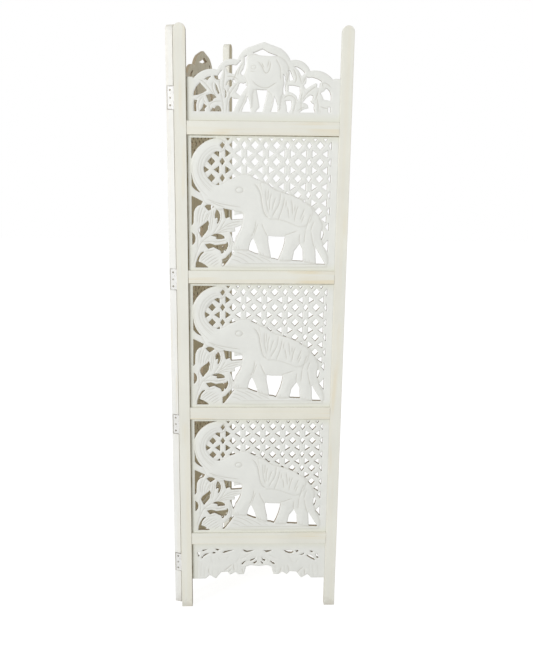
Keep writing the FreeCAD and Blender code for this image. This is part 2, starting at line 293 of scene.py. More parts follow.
def make_joint_group():
    """Thin broken dark line: dirt where a rail's shoulder meets a post, painted shadow at the ends of a hinge
    plate.
    """
    tree, enter, leave = new_group("joint_line", {
        "Place": "Vector", "Vector": "Vector", "Half Length": rail_reach}, {"Mask": "Float"})
    off_middle = calculate(tree, "ABSOLUTE", apart(tree, enter["Place"])["Z"], 0.0)
    inward = calculate(tree, "SUBTRACT", enter["Half Length"], off_middle)
    line = spread(tree, inward, 0.0004, 0.0014, 0.85, 0.0)
    broken = spread(tree, noise(tree, enter["Vector"], 60.0, 3.0), 0.35, 0.6)
    fill_inputs(tree, leave, {"Mask": calculate(tree, "MULTIPLY", line, broken)})
    return tree


grain_group = make_grain_group()
wash_group = make_wash_group()
grime_group = make_grime_group()
edge_group = make_edge_group()
joint_group = make_joint_group()


def place_group(tree, group, **values):
    """Outputs of a group in a material, whose inputs are set or linked by name."""
    node = add_node(tree, "ShaderNodeGroup", node_tree=group)
    named = {label.replace("_", " ").title(): value for label, value in values.items()}
    return fill_inputs(tree, node, named).outputs


def new_material(name):
    """Material: returns it with its tree, its surface shader and the place that its patterns follow."""
    material = bpy.data.materials.new(name)
    material.use_nodes = True
    tree = material.node_tree
    here = add_node(tree, "ShaderNodeTexCoord").outputs["Object"]
    return material, tree, tree.nodes["Principled BSDF"], here


def carried(tree, name):
    """Outputs of what a mesh carries under a name."""
    return add_node(tree, "ShaderNodeAttribute", attribute_name=name).outputs


def fine_relief(tree, height, strength, distance):
    """Normal of a skin with a fine relief, its depth in metres."""
    return add_node(tree, "ShaderNodeBump", {
        "Height": height, "Strength": strength, "Distance": distance}).outputs["Normal"]


def wood_material(name, turn_down, turn, streak_amount, wrap, joint_reach=0.0):
    """White-washed wood: turn_down lays the grain along X, turn sets it along a folded leaf's rails.

    wrap is how far the front's white runs round onto the back; joint_reach is the distance from the
    middle of a rail to the dark lines where it meets the posts."""
    material, tree, surface, here = new_material(name)
    lengthwise = turned(tree, here, (0, 0, turn))
    if turn_down:
        lengthwise = turned(tree, lengthwise, (0, math.radians(90), 0))
    grain = place_group(tree, grain_group, vector=lengthwise)
    spot = carried(tree, "across")["Vector"]
    wear = place_group(tree, edge_group, place=spot, reach=0.0035)
    faces = apart(tree, carried(tree, "facing")["Vector"])
    wrapped = place_group(tree, edge_group, place=spot, reach=wrap)
    unwrapped = spread(tree, wrapped["Mask"], 0.2, 0.7, 1.0, 0.0)
    wash = blend_color(tree, calculate(tree, "MULTIPLY", faces["X"], unwrapped), wash_white, back_wash)
    # painted light: whiter, cooler wash on the faces towards the other leaf
    wash = blend_color(tree, faces["Y"], wash, meeting_side_light)
    # painted shade, dark brown, on the hinge posts' inner sides
    wash = blend_color(tree, faces["Z"], wash, inner_side_shade)
    paint = place_group(tree, wash_group, vector=here, wash=wash, wood=(*wash_warm, 1), worn=(*edge_color, 1),
                        streaks=grain["Streaks"], pores=grain["Pores"], edge=wear["Mask"],
                        streak_amount=streak_amount, edge_amount=0.12)
    grime = place_group(tree, grime_group, vector=here, height=0.030, amount=0.28)
    color = blend_color(tree, grime["Mask"], paint["Color"], grime_color)
    if joint_reach:
        joint = place_group(tree, joint_group, place=spot, vector=here, half_length=joint_reach)
        color = blend_color(tree, joint["Mask"], color, grime_color)
    fill_inputs(tree, surface, {"Base Color": color, "Roughness": paint["Roughness"],
                                "Normal": fine_relief(tree, grain["Height"], 0.28, 0.0006)})
    return material


def merged_copy(name, node, leaf, edge_width, along, meeting=0):
    """The node's shape as one closed skin with eased edges.

    Its corners carry their place: off the middle of the face they are on, half that face's width, and
    lengthwise. Its faces carry which way they look: back, towards the other leaf (on the side meeting
    names) and away from it."""
    work = bmesh.new()
    work.from_mesh(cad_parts[node].data)
    bmesh.ops.remove_doubles(work, verts=work.verts, dist=1e-6)
    bmesh.ops.dissolve_limit(work, angle_limit=flat_join, verts=work.verts, edges=work.edges)
    sharp = [e for e in work.edges if len(e.link_faces) == 2 and e.calc_face_angle() > eased_corner]
    bmesh.ops.bevel(work, geom=sharp, offset=edge_width, segments=2, profile=0.5, affect="EDGES",
                    clamp_overlap=True)
    flat_place = leaf_places[leaf].inverted()
    flat_turn = flat_place.to_3x3()
    places = {v: flat_place @ v.co for v in work.verts}
    low = [min(p[i] for p in places.values()) for i in range(3)]
    high = [max(p[i] for p in places.values()) for i in range(3)]
    layer = work.loops.layers.float_vector.new("across")
    ways = work.faces.layers.float_vector.new("facing")
    for face in work.faces:
        face.smooth = face.calc_area() < widest_round
        normal = flat_turn @ face.normal
        towards = normal.x * meeting
        face[ways] = (float(normal.y > square_on), float(towards > square_on), float(towards < -slanting))
        facing = max((i for i in range(3) if i != along), key=lambda i: abs(normal[i]))
        side = 3 - along - facing
        for loop in face.loops:
            place = places[loop.vert]
            middle = (low[side] + high[side]) / 2
            lengthwise = place[along] - (low[along] + high[along]) / 2
            loop[layer] = (place[side] - middle, (high[side] - low[side]) / 2, lengthwise)
    for edge in work.edges:
        if len(edge.link_faces) == 2:
            edge.smooth = edge.calc_face_angle() < hard_corner
    mesh = bpy.data.meshes.new(name)
    work.to_mesh(mesh)
    work.free()
    piece = bpy.data.objects.new(name, mesh)
    bpy.context.collection.objects.link(piece)
    return piece


post_wood = wood_material("washed_post", turn_down=False, turn=0.0, streak_amount=0.60, wrap=0.014)
for leaf in leaves:
    for side in ("hinge", "free"):
        meeting = {"front": -1, "rear": 1}[leaf] if side == "hinge" else 0
        post = merged_copy(f"{leaf}_{side}_post", f"{leaf}_{side}_stile", leaf, post_edge, 2, meeting)
        post.data.materials.append(post_wood)
        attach(post, f"{leaf}_leaf")
        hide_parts(f"{leaf}_{side}_stile")


# Rails: four cross rails to each leaf, 38 mm high, of the same washed wood with the grain along them.
# Their tenons go 20 mm into the posts and are glued; the shoulders leave a fine dark line at each post.
rail_edge = 0.0008
rail_turns = {"front": 0.0, "rear": math.radians(-fold_degrees)}
rail_woods = {leaf: wood_material(f"washed_{leaf}_rail", turn_down=True, turn=rail_turns[leaf],
                                  streak_amount=0.85, wrap=0.004, joint_reach=rail_reach)
              for leaf in leaves}
for leaf in leaves:
    for place in ("top", "upper", "lower", "bottom"):
        rail = merged_copy(f"{leaf}_{place}_cross_rail", f"{leaf}_{place}_rail", leaf, rail_edge, 0)
        rail.data.materials.append(rail_woods[leaf])
        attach(rail, f"{leaf}_leaf")
        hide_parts(f"{leaf}_{place}_rail")


# Carved boards: three jali boards to each leaf, 11 mm thick, each let into grooves of the rails and posts.
# A lattice of diamonds and triangles is sawn round an elephant on a mound, and the front is carved in low
# relief. The paint is thicker here, and the sawn walls of the openings stay brown.
bay_width, bay_height = 432.0, 388.0
board_thickness = 11.0
board_tongue = 5.8
board_front = -248.017 / 1000
board_left = -203.776 / 1000
bay_bottoms = {"lower": 0.264, "middle": 0.690, "upper": 1.116}
lattice_sizes = {"Pitch": 62.2, "Rise": 46.3, "Start": 69.3, "Drop": 27.5,
                 "Large Width": 22.0, "Large Height": 24.0, "Small Width": 14.6, "Small Height": 22.0,
                 "Triangle Width": 15.8, "Triangle Height": 21.8, "Triangle Offset": 14.5,
                 "Border Width": 15.0, "Border Height": 9.5, "Border Drop": 11.5}
least_hole = 16.0  # square millimetres; part-holes smaller than this stay wood
sharp_corner = math.radians(38)
back_streaks = 0.14
board_paint = (0.795, 0.800, 0.765)
# painted shade for the carved lines and the foot of raised forms
carved_shade = (0.44, 0.41, 0.33)
# painted shadow of the posts and rails on the board's edges
painted_joint_shadow = (0.22, 0.18, 0.09)
# painted shade: darker, yellower tint on the board near the left post and the rails
frame_shade_tint = (0.735, 0.735, 0.600)
sawn_brown = (0.30, 0.245, 0.165)

back_line_shares = (
    (0.903, 0.357), (0.886, 0.39), (0.878, 0.418), (0.855, 0.45), (0.836, 0.485), (0.789, 0.512),
    (0.762, 0.538), (0.708, 0.564), (0.674, 0.578), (0.608, 0.596), (0.581, 0.607), (0.54, 0.651),
    (0.5, 0.658), (0.469, 0.68), (0.434, 0.699), (0.407, 0.714), (0.353, 0.714), (0.323, 0.699),
    (0.28, 0.68), (0.245, 0.651), (0.215, 0.639), (0.176, 0.643), (0.157, 0.667), (0.133, 0.692),
    (0.118, 0.718), (0.109, 0.753), (0.114, 0.796), (0.13, 0.834), (0.149, 0.856), (0.174, 0.875),
    (0.193, 0.883), (0.216, 0.88))
lattice_zone_shares = (
    (0.249, 0.978), (0.954, 0.978), (0.954, 0.357)) + back_line_shares + (
    (0.222, 0.903), (0.215, 0.926), (0.242, 0.959))
elephant_gap_shares = (
    ((0.029, 0.978), (0.195, 0.978), (0.087, 0.923, 0.029, 0.826)),
    ((0.029, 0.729), (0.046, 0.649, 0.087, 0.583), (0.056, 0.6, 0.029, 0.632)),
    ((0.756, 0.207), (0.779, 0.151), (0.782, 0.074), (0.707, 0.078), (0.72, 0.151)),
    ((0.863, 0.181), (0.934, 0.05), (0.87, 0.052)), ((0.95, 0.237), (0.95, 0.143), (0.915, 0.192)),
    ((0.9, 0.304), (0.91, 0.31), (0.918, 0.284), (0.912, 0.253), (0.902, 0.236), (0.899, 0.27)),
    ((0.926, 0.334), (0.95, 0.366), (0.95, 0.302)),
    ((0.028, 0.559), (0.103, 0.518), (0.09, 0.493), (0.069, 0.485), (0.052, 0.466), (0.042, 0.438),
     (0.04, 0.392), (0.039, 0.357), (0.029, 0.34), (0.026, 0.342)),
    ((0.113, 0.482), (0.13, 0.495), (0.157, 0.493), (0.177, 0.478), (0.157, 0.46), (0.141, 0.449),
     (0.127, 0.463)),
    ((0.194, 0.46), (0.208, 0.446), (0.217, 0.418), (0.217, 0.396), (0.21, 0.369), (0.199, 0.349),
     (0.196, 0.364), (0.202, 0.393), (0.193, 0.399), (0.184, 0.389), (0.181, 0.418), (0.187, 0.443)),
    ((0.238, 0.471), (0.257, 0.463), (0.309, 0.454), (0.312, 0.416), (0.334, 0.424), (0.365, 0.426),
     (0.373, 0.409), (0.369, 0.389), (0.342, 0.386), (0.292, 0.383), (0.282, 0.405), (0.257, 0.393),
     (0.252, 0.399), (0.246, 0.435)),
    ((0.136, 0.379), (0.144, 0.353), (0.136, 0.332), (0.135, 0.31), (0.122, 0.287), (0.106, 0.266),
     (0.093, 0.247), (0.084, 0.265), (0.074, 0.29), (0.071, 0.304), (0.082, 0.327), (0.106, 0.349),
     (0.126, 0.366)),
    ((0.154, 0.263), (0.178, 0.277), (0.199, 0.28), (0.226, 0.273), (0.244, 0.259), (0.248, 0.243),
     (0.23, 0.239), (0.196, 0.237), (0.188, 0.247), (0.194, 0.254), (0.172, 0.26)),
    ((0.364, 0.345), (0.353, 0.31), (0.338, 0.277), (0.324, 0.254), (0.318, 0.232), (0.311, 0.21),
     (0.303, 0.224), (0.299, 0.246), (0.283, 0.29), (0.319, 0.296), (0.314, 0.323), (0.338, 0.333)),
    ((0.114, 0.198), (0.149, 0.205), (0.184, 0.193), (0.215, 0.197), (0.257, 0.203), (0.267, 0.219),
     (0.272, 0.194), (0.263, 0.164), (0.252, 0.146), (0.245, 0.159), (0.239, 0.134), (0.226, 0.127),
     (0.219, 0.15), (0.193, 0.164), (0.172, 0.177), (0.137, 0.163), (0.125, 0.179)),
    ((0.029, 0.287), (0.045, 0.271), (0.052, 0.246), (0.049, 0.218), (0.037, 0.198), (0.029, 0.193)),
    ((0.11, 0.141), (0.092, 0.121), (0.078, 0.098), (0.071, 0.065), (0.092, 0.058), (0.119, 0.039),
     (0.137, 0.021), (0.049, 0.021), (0.052, 0.057), (0.064, 0.095), (0.083, 0.13), (0.097, 0.141)),
    ((0.303, 0.156), (0.312, 0.143), (0.296, 0.116), (0.269, 0.073), (0.242, 0.034), (0.231, 0.03),
     (0.231, 0.084), (0.253, 0.096), (0.272, 0.121), (0.292, 0.143)),
    ((0.438, 0.247), (0.452, 0.216), (0.463, 0.186), (0.473, 0.151), (0.476, 0.125), (0.454, 0.132),
     (0.41, 0.153), (0.414, 0.186), (0.423, 0.22)),
    ((0.542, 0.265), (0.577, 0.261), (0.657, 0.259), (0.651, 0.211), (0.64, 0.164), (0.624, 0.117),
     (0.61, 0.083), (0.585, 0.093), (0.562, 0.095), (0.558, 0.134), (0.548, 0.186), (0.542, 0.229)))
elephant_shares = (
    (0.242, 0.96), (0.195, 0.976), (0.137, 0.955), (0.082, 0.914), (0.046, 0.866), (0.031, 0.817),
    (0.026, 0.761), (0.032, 0.701), (0.049, 0.645), (0.071, 0.607), (0.09, 0.581), (0.106, 0.542),
    (0.12, 0.508), (0.149, 0.497), (0.176, 0.482), (0.203, 0.46), (0.239, 0.467), (0.309, 0.454),
    (0.377, 0.442), (0.374, 0.409), (0.371, 0.375), (0.363, 0.332), (0.347, 0.289), (0.33, 0.237),
    (0.313, 0.194), (0.319, 0.158), (0.353, 0.16), (0.41, 0.153), (0.417, 0.207), (0.438, 0.243),
    (0.464, 0.194), (0.475, 0.126), (0.515, 0.113), (0.562, 0.095), (0.56, 0.151), (0.543, 0.211),
    (0.542, 0.263), (0.6, 0.256), (0.656, 0.259), (0.645, 0.194), (0.61, 0.084), (0.654, 0.077),
    (0.707, 0.078), (0.72, 0.151), (0.756, 0.207), (0.779, 0.151), (0.782, 0.074), (0.824, 0.061),
    (0.87, 0.052), (0.866, 0.117), (0.863, 0.181), (0.89, 0.143), (0.934, 0.05), (0.95, 0.055),
    (0.948, 0.1), (0.917, 0.186), (0.901, 0.237), (0.898, 0.296), (0.905, 0.332)) + back_line_shares + (
    (0.238, 0.89), (0.249, 0.916))
ear_line_shares = (
    (0.451, 0.645), (0.471, 0.622), (0.488, 0.581), (0.494, 0.529), (0.501, 0.485), (0.509, 0.45),
    (0.523, 0.416), (0.542, 0.403))
blanket_shares = (
    (0.485, 0.667), (0.54, 0.641), (0.581, 0.603), (0.647, 0.581), (0.708, 0.56), (0.762, 0.533),
    (0.809, 0.498), (0.84, 0.46), (0.83, 0.409), (0.813, 0.364), (0.762, 0.333), (0.716, 0.354),
    (0.654, 0.381), (0.6, 0.397), (0.566, 0.395), (0.545, 0.397), (0.523, 0.443), (0.509, 0.495),
    (0.503, 0.564), (0.496, 0.619))
mound_shares = (
    (0.222, 0.022), (0.257, 0.074), (0.288, 0.117), (0.319, 0.155), (0.353, 0.16), (0.41, 0.153),
    (0.475, 0.126), (0.562, 0.095), (0.654, 0.077), (0.782, 0.074), (0.87, 0.052), (0.94, 0.046),
    (0.94, 0.031))
pleat_shares = (
    ((0.523, 0.607), (0.523, 0.555), (0.529, 0.495), (0.542, 0.443)),
    ((0.54, 0.607), (0.539, 0.564), (0.535, 0.529)), ((0.559, 0.581), (0.549, 0.529), (0.548, 0.46)),
    ((0.59, 0.551), (0.576, 0.512), (0.566, 0.46)),
    ((0.621, 0.585), (0.618, 0.529), (0.606, 0.486), (0.585, 0.45), (0.568, 0.411)),
    ((0.648, 0.551), (0.643, 0.51), (0.631, 0.46), (0.616, 0.416), (0.608, 0.383)),
    ((0.662, 0.529), (0.657, 0.482)), ((0.67, 0.478), (0.676, 0.442), (0.68, 0.399)),
    ((0.694, 0.534), (0.701, 0.485), (0.705, 0.426)), ((0.72, 0.495), (0.718, 0.452)),
    ((0.741, 0.491), (0.728, 0.452), (0.721, 0.409), (0.717, 0.379)),
    ((0.784, 0.471), (0.769, 0.426), (0.755, 0.387)), ((0.781, 0.418), (0.764, 0.368)),
    ((0.828, 0.43), (0.813, 0.392), (0.806, 0.356), (0.793, 0.313)),
    ((0.847, 0.375), (0.836, 0.34), (0.828, 0.306)))
trunk_line_shares = (
    ((0.065, 0.804), (0.066, 0.744), (0.083, 0.686), (0.114, 0.632), (0.157, 0.589)),
    ((0.033, 0.785), (0.034, 0.731), (0.054, 0.667), (0.088, 0.607), (0.137, 0.552)),
    ((0.211, 0.902), (0.185, 0.905), (0.162, 0.893), (0.136, 0.87), (0.113, 0.844), (0.096, 0.8),
     (0.09, 0.753), (0.099, 0.71), (0.119, 0.677), (0.145, 0.646), (0.174, 0.619)),
    ((0.198, 0.923), (0.176, 0.923), (0.149, 0.909), (0.12, 0.883), (0.097, 0.854), (0.079, 0.808),
     (0.071, 0.753), (0.08, 0.701), (0.103, 0.663), (0.131, 0.629), (0.164, 0.6)))
crease_shares = (
    ((0.458, 0.379), (0.454, 0.332), (0.441, 0.289), (0.427, 0.253)),
    ((0.471, 0.356), (0.458, 0.313), (0.446, 0.27)), ((0.497, 0.357), (0.515, 0.306), (0.537, 0.261)),
    ((0.734, 0.304), (0.689, 0.284), (0.648, 0.269)), ((0.756, 0.284), (0.751, 0.237), (0.755, 0.207)),
    ((0.793, 0.313), (0.789, 0.263), (0.785, 0.211)), ((0.832, 0.297), (0.84, 0.237), (0.855, 0.177)),
    ((0.133, 0.534), (0.195, 0.508), (0.272, 0.491), (0.346, 0.479)),
    ((0.153, 0.516), (0.215, 0.486), (0.245, 0.478)), ((0.323, 0.186), (0.33, 0.164)),
    ((0.342, 0.184), (0.347, 0.164)), ((0.485, 0.143), (0.496, 0.121)), ((0.506, 0.134), (0.515, 0.115)),
    ((0.62, 0.101), (0.625, 0.084)), ((0.643, 0.098), (0.647, 0.081)), ((0.797, 0.089), (0.801, 0.07)),
    ((0.823, 0.082), (0.827, 0.064)))
leaf_vein_shares = (
    ((0.085, 0.479), (0.069, 0.426), (0.066, 0.362)), ((0.103, 0.476), (0.084, 0.418), (0.078, 0.351)),
    ((0.122, 0.456), (0.103, 0.409), (0.096, 0.357)), ((0.139, 0.436), (0.12, 0.392), (0.108, 0.359)),
    ((0.149, 0.439), (0.134, 0.399), (0.128, 0.376)),
    ((0.159, 0.452), (0.159, 0.409), (0.15, 0.353), (0.145, 0.297)),
    ((0.176, 0.456), (0.17, 0.405), (0.165, 0.353), (0.154, 0.297)),
    ((0.226, 0.448), (0.23, 0.409), (0.222, 0.375), (0.199, 0.327), (0.17, 0.28)),
    ((0.252, 0.379), (0.23, 0.336), (0.207, 0.297)),
    ((0.357, 0.37), (0.309, 0.366), (0.269, 0.351), (0.236, 0.323), (0.193, 0.29)),
    ((0.342, 0.353), (0.299, 0.342), (0.257, 0.33)),
    ((0.313, 0.313), (0.28, 0.318), (0.238, 0.308), (0.207, 0.289)),
    ((0.276, 0.297), (0.238, 0.292), (0.193, 0.284)),
    ((0.039, 0.057), (0.051, 0.108), (0.064, 0.151), (0.083, 0.203), (0.114, 0.237), (0.149, 0.265)),
    ((0.06, 0.164), (0.068, 0.203), (0.066, 0.254), (0.062, 0.297)),
    ((0.087, 0.216), (0.106, 0.216), (0.149, 0.222), (0.191, 0.218), (0.245, 0.224)),
    ((0.257, 0.233), (0.222, 0.216), (0.176, 0.211)), ((0.284, 0.254), (0.288, 0.211), (0.278, 0.168)),
    ((0.296, 0.229), (0.298, 0.186), (0.29, 0.151)), ((0.037, 0.486), (0.049, 0.516), (0.039, 0.54)),
    ((0.18, 0.164), (0.164, 0.151), (0.137, 0.149), (0.118, 0.144)),
    ((0.082, 0.084), (0.106, 0.11), (0.134, 0.132)), ((0.085, 0.067), (0.118, 0.098), (0.162, 0.129)),
    ((0.106, 0.062), (0.141, 0.091), (0.182, 0.119)), ((0.128, 0.05), (0.16, 0.077), (0.198, 0.101)),
    ((0.148, 0.038), (0.176, 0.06), (0.205, 0.081)), ((0.167, 0.027), (0.188, 0.045), (0.21, 0.062)))
mound_vein_shares = (
    ((0.323, 0.143), (0.392, 0.117), (0.454, 0.07)), ((0.299, 0.117), (0.353, 0.1), (0.407, 0.061)),
    ((0.292, 0.087), (0.33, 0.078), (0.361, 0.057)), ((0.392, 0.134), (0.454, 0.108), (0.515, 0.065)),
    ((0.485, 0.108), (0.531, 0.087), (0.566, 0.065)), ((0.37, 0.053), (0.64, 0.053), (0.905, 0.05)))


def placed(tree, geometry, **moves):
    """Geometry moved, turned or scaled; each move is a vector socket or three numbers."""
    named = {label.title(): value for label, value in moves.items()}
    return add_node(tree, "GeometryNodeTransform", {"Geometry": geometry, **named}).outputs["Geometry"]


def vector_of(tree, x=0.0, y=0.0, z=0.0):
    """Vector of three parts, each a socket or a number."""
    return add_node(tree, "ShaderNodeCombineXYZ", {"X": x, "Y": y, "Z": z}).outputs["Vector"]


def stamped(tree, mesh, shape, **turn):
    """Copies of a shape, one at each point of a mesh; a rotation turns them all or each its own way."""
    spots = add_node(tree, "GeometryNodeMeshToPoints", {"Mesh": mesh}).outputs["Points"]
    named = {label.title(): value for label, value in turn.items()}
    copies = add_node(tree, "GeometryNodeInstanceOnPoints", {"Points": spots, "Instance": shape, **named})
    return copies.outputs["Instances"]


def lattice_tree():
    """Geometry nodes that lay out the lattice's punches: two sizes of diamond in rows, triangles between."""
    kinds = {"Columns": "Int", "Rows": "Int", "Top": "Float", **dict.fromkeys(lattice_sizes, "Float")}
    tree, enter, leave = new_group("lattice_layout", kinds, {"Geometry": "Geometry"}, "GeometryNodeTree")

    def punch(corners, width, height, turn):
        """Filled shape round the origin: a circle of three or four corners, stretched to size."""
        ring = add_node(tree, "GeometryNodeMeshCircle", {"Vertices": corners, "Radius": 1.0},
                        fill_type="NGON")
        wide, tall, shift = (1.5, math.sqrt(3), -0.25) if corners == 3 else (2.0, 2.0, 0.0)
        centred = placed(tree, ring.outputs["Mesh"], translation=(shift, 0, 0))
        size = vector_of(tree, calculate(tree, "DIVIDE", width, wide),
                         calculate(tree, "DIVIDE", height, tall))
        return placed(tree, centred, scale=size, rotation=(0, 0, turn))

    row_length = calculate(tree, "MULTIPLY", enter["Pitch"], calculate(tree, "SUBTRACT", enter["Columns"], 1))
    stack_height = calculate(tree, "MULTIPLY", enter["Rise"], calculate(tree, "SUBTRACT", enter["Rows"], 1))
    grid = add_node(tree, "GeometryNodeMeshGrid", {
        "Size X": row_length, "Size Y": stack_height,
        "Vertices X": enter["Columns"], "Vertices Y": enter["Rows"]})
    border_row = add_node(tree, "GeometryNodeMeshGrid", {
        "Size X": row_length, "Vertices X": enter["Columns"], "Vertices Y": 1})
    first_x = calculate(tree, "SUBTRACT", enter["Start"], enter["Pitch"])
    grid_x = calculate(tree, "ADD", first_x, calculate(tree, "DIVIDE", row_length, 2))
    between_x = calculate(tree, "ADD", grid_x, calculate(tree, "DIVIDE", enter["Pitch"], 2))
    left_x = calculate(tree, "SUBTRACT", grid_x, enter["Triangle Offset"])
    right_x = calculate(tree, "ADD", grid_x, enter["Triangle Offset"])
    top_z = calculate(tree, "SUBTRACT", enter["Top"], enter["Drop"])
    grid_z = calculate(tree, "SUBTRACT", top_z, calculate(tree, "DIVIDE", stack_height, 2))
    between_z = calculate(tree, "SUBTRACT", grid_z, calculate(tree, "DIVIDE", enter["Rise"], 2))
    border_z = calculate(tree, "SUBTRACT", enter["Top"], enter["Border Drop"])
    large = punch(4, enter["Large Width"], enter["Large Height"], 0.0)
    small = punch(4, enter["Small Width"], enter["Small Height"], 0.0)
    points_right = punch(3, enter["Triangle Width"], enter["Triangle Height"], 0.0)
    points_left = punch(3, enter["Triangle Width"], enter["Triangle Height"], math.pi)
    half_hole = punch(3, enter["Border Height"], enter["Border Width"], -math.pi / 2)
    joined = tree.nodes.new("GeometryNodeJoinGeometry")
    for shape, x, z, layout in (
            (large, grid_x, grid_z, grid), (small, between_x, grid_z, grid),
            (points_right, left_x, between_z, grid), (points_left, right_x, between_z, grid),
            (half_hole, left_x, border_z, border_row), (half_hole, right_x, border_z, border_row)):
        moved = placed(tree, layout.outputs["Mesh"], translation=vector_of(tree, x, z))
        tree.links.new(stamped(tree, moved, shape), joined.inputs["Geometry"])
    real = add_node(tree, "GeometryNodeRealizeInstances", {"Geometry": joined.outputs["Geometry"]})
    fill_inputs(tree, leave, {"Geometry": real.outputs["Geometry"]})
    return tree


def grown_mesh(name, tree, values, spots=()):
    """Plain mesh that a geometry tree makes on the spots with the values given."""
    seed_mesh = bpy.data.meshes.new(name)
    seed_mesh.from_pydata(spots, [], [])
    seed = bpy.data.objects.new(name, seed_mesh)
    bpy.context.collection.objects.link(seed)
    grown = seed.modifiers.new("layout", "NODES")
    grown.node_group = tree
    for item in tree.interface.items_tree:
        if item.item_type == "SOCKET" and item.in_out == "INPUT" and item.name in values:
            grown[item.identifier] = values[item.name]
    graph = bpy.context.evaluated_depsgraph_get()
    mesh = bpy.data.meshes.new_from_object(seed.evaluated_get(graph))
    bpy.data.objects.remove(seed)
    mesh.name = name
    return mesh


def sides(corners, closed=True):
    """Pairs of neighbouring corners, round to the first one where the line is closed."""
    return list(zip(corners, corners[1:] + corners[:1] if closed else corners[1:]))


def outline_points(points, place, step=3.0):
    """Corners in millimetres of an outline of shares; four shares are an arc through the first two."""
    ends = [np.array(place(*p[-2:])) for p in points]
    out = []
    for i, point in enumerate(points):
        start, end = ends[i - 1], ends[i]
        if len(point) == 4:
            mid = np.array(place(*point[:2]))
            (ax, az), (bx, bz), (cx, cz) = start, mid, end
            a, b, c = start @ start, mid @ mid, end @ end
            d = 2 * (ax * (bz - cz) + bx * (cz - az) + cx * (az - bz))
            ux = (a * (bz - cz) + b * (cz - az) + c * (az - bz)) / d
            uz = (a * (cx - bx) + b * (ax - cx) + c * (bx - ax)) / d
            centre = np.array((ux, uz))
            radius = math.dist(start, centre)
            first = math.atan2(start[1] - uz, start[0] - ux)
            sweep = [(math.atan2(p[1] - uz, p[0] - ux) - first) % math.tau for p in (mid, end)]
            turn = sweep[1] if sweep[0] < sweep[1] else sweep[1] - math.tau
            count = max(3, round(abs(turn) * radius / step))
            for k in range(1, count):
                angle = first + turn * k / count
                out.append(centre + radius * np.array((math.cos(angle), math.sin(angle))))
        out.append(end)
    return [tuple(p) for p in out]


def softened(loop, cut, straight=158, most_share=0.4):
    """Closed loop with its sharp corners rounded off by a cut, as a saw blade or cutter leaves them.

    Corners wider than straight, in degrees, stay; a cut takes no more than most_share of a side."""
    points = [np.array(p) for p in loop]
    out = []
    for i, here in enumerate(points):
        back, on = points[i - 1] - here, points[(i + 1) % len(points)] - here
        back_length, on_length = np.linalg.norm(back), np.linalg.norm(on)
        turn = math.degrees(math.acos(float(np.clip(back @ on / (back_length * on_length), -1, 1))))
        if turn > straight:
            out.append(here)
            continue
        near, far = min(cut, most_share * back_length), min(cut, most_share * on_length)
        first, last = here + back / back_length * near, here + on / on_length * far
        out += [first, 0.25 * first + 0.5 * here + 0.25 * last, last]
    return out


def stepped(points, step, closed):
    """Points along a line no further than a step apart."""
    points = [np.array(p, dtype=float) for p in points]
    out = []
    for start, end in sides(points, closed):
        count = max(1, math.ceil(np.linalg.norm(end - start) / step))
        out += [start + (end - start) * k / count for k in range(count)]
    return out if closed else out + [points[-1]]


def smooth_line(points, closed, rounds=2):
    """Line with its bends cut off again and again, so that a carved line runs in a curve."""
    points = [np.array(p, dtype=float) for p in points]
    for _ in range(rounds):
        cut = [p for a, b in sides(points, closed) for p in (0.75 * a + 0.25 * b, 0.25 * a + 0.75 * b)]
        points = cut if closed else [points[0]] + cut[1:-1] + [points[-1]]
    return points


def distance(places, line, closed, batch=400):
    """Distance of each place from a line, worked out for a batch of its stretches at a time."""
    stretches = np.array(sides(list(line), closed), dtype=float)
    best = np.full(len(places), 1e9)
    for start in range(0, len(stretches), batch):
        part = stretches[start:start + batch]
        a, along = part[:, 0], part[:, 1] - part[:, 0]
        square = np.maximum((along**2).sum(1), 1e-12)
        gap = places[:, None, :] - a[None]
        t = np.clip((gap * along[None]).sum(2) / square, 0, 1)
        off = gap - t[:, :, None] * along[None]
        best = np.minimum(best, np.sqrt((off**2).sum(2)).min(1))
    return best


def near_rims(places, rims, spacing=0.4):
    """Distance of each place from the nearest rim, read off points on the rims."""
    dense = [p for rim in rims for p in stepped(rim, spacing, True)]
    finder = KDTree(len(dense))
    for number, (x, z) in enumerate(dense):
        finder.insert((x, z, 0.0), number)
    finder.balance()
    return np.array([finder.find((x, z, 0.0))[2] for x, z in places])


def within(places, loop):
    """Which places lie inside a closed loop."""
    x, z = places[:, 0], places[:, 1]
    inside = np.zeros(len(places), bool)
    for (ax, az), (bx, bz) in sides(list(loop)):
        if az != bz:
            crosses = (az > z) != (bz > z)
            inside ^= crosses & (x < (bx - ax) * (z - az) / (bz - az) + ax)
    return inside


def between(places, rims):
    """Which places lie on the wood between the rims."""
    inside = np.zeros(len(places), bool)
    for rim in rims:
        inside ^= within(places, rim)
    return inside


def signed(places, loop):
    """Distance from a closed loop, counted as positive inside it."""
    far = distance(places, loop, True)
    return np.where(within(places, loop), far, -far)


def eased(t):
    """Ramp from 0 to 1 with level ends."""
    t = np.clip(t, 0, 1)
    return t * t * (3 - 2 * t)


def peaked(off, half_width):
    """1 where off is zero, falling evenly to 0 at half the width on both sides."""
    return np.clip(1 - np.abs(off) / half_width, 0, 1)


def doubled_areas(corners):
    """Twice the area of each triangle, negative where it runs clockwise."""
    first, last = corners[:, 1] - corners[:, 0], corners[:, 2] - corners[:, 0]
    return first[:, 0] * last[:, 1] - first[:, 1] * last[:, 0]


def joined_loops(loops):
    """Corners of all the loops in one list, and the edges that close each loop."""
    points, edges = [], []
    for loop in loops:
        first = len(points)
        points += [tuple(p) for p in loop]
        edges += [(first + i, first + (i + 1) % len(loop)) for i in range(len(loop))]
    return points, edges


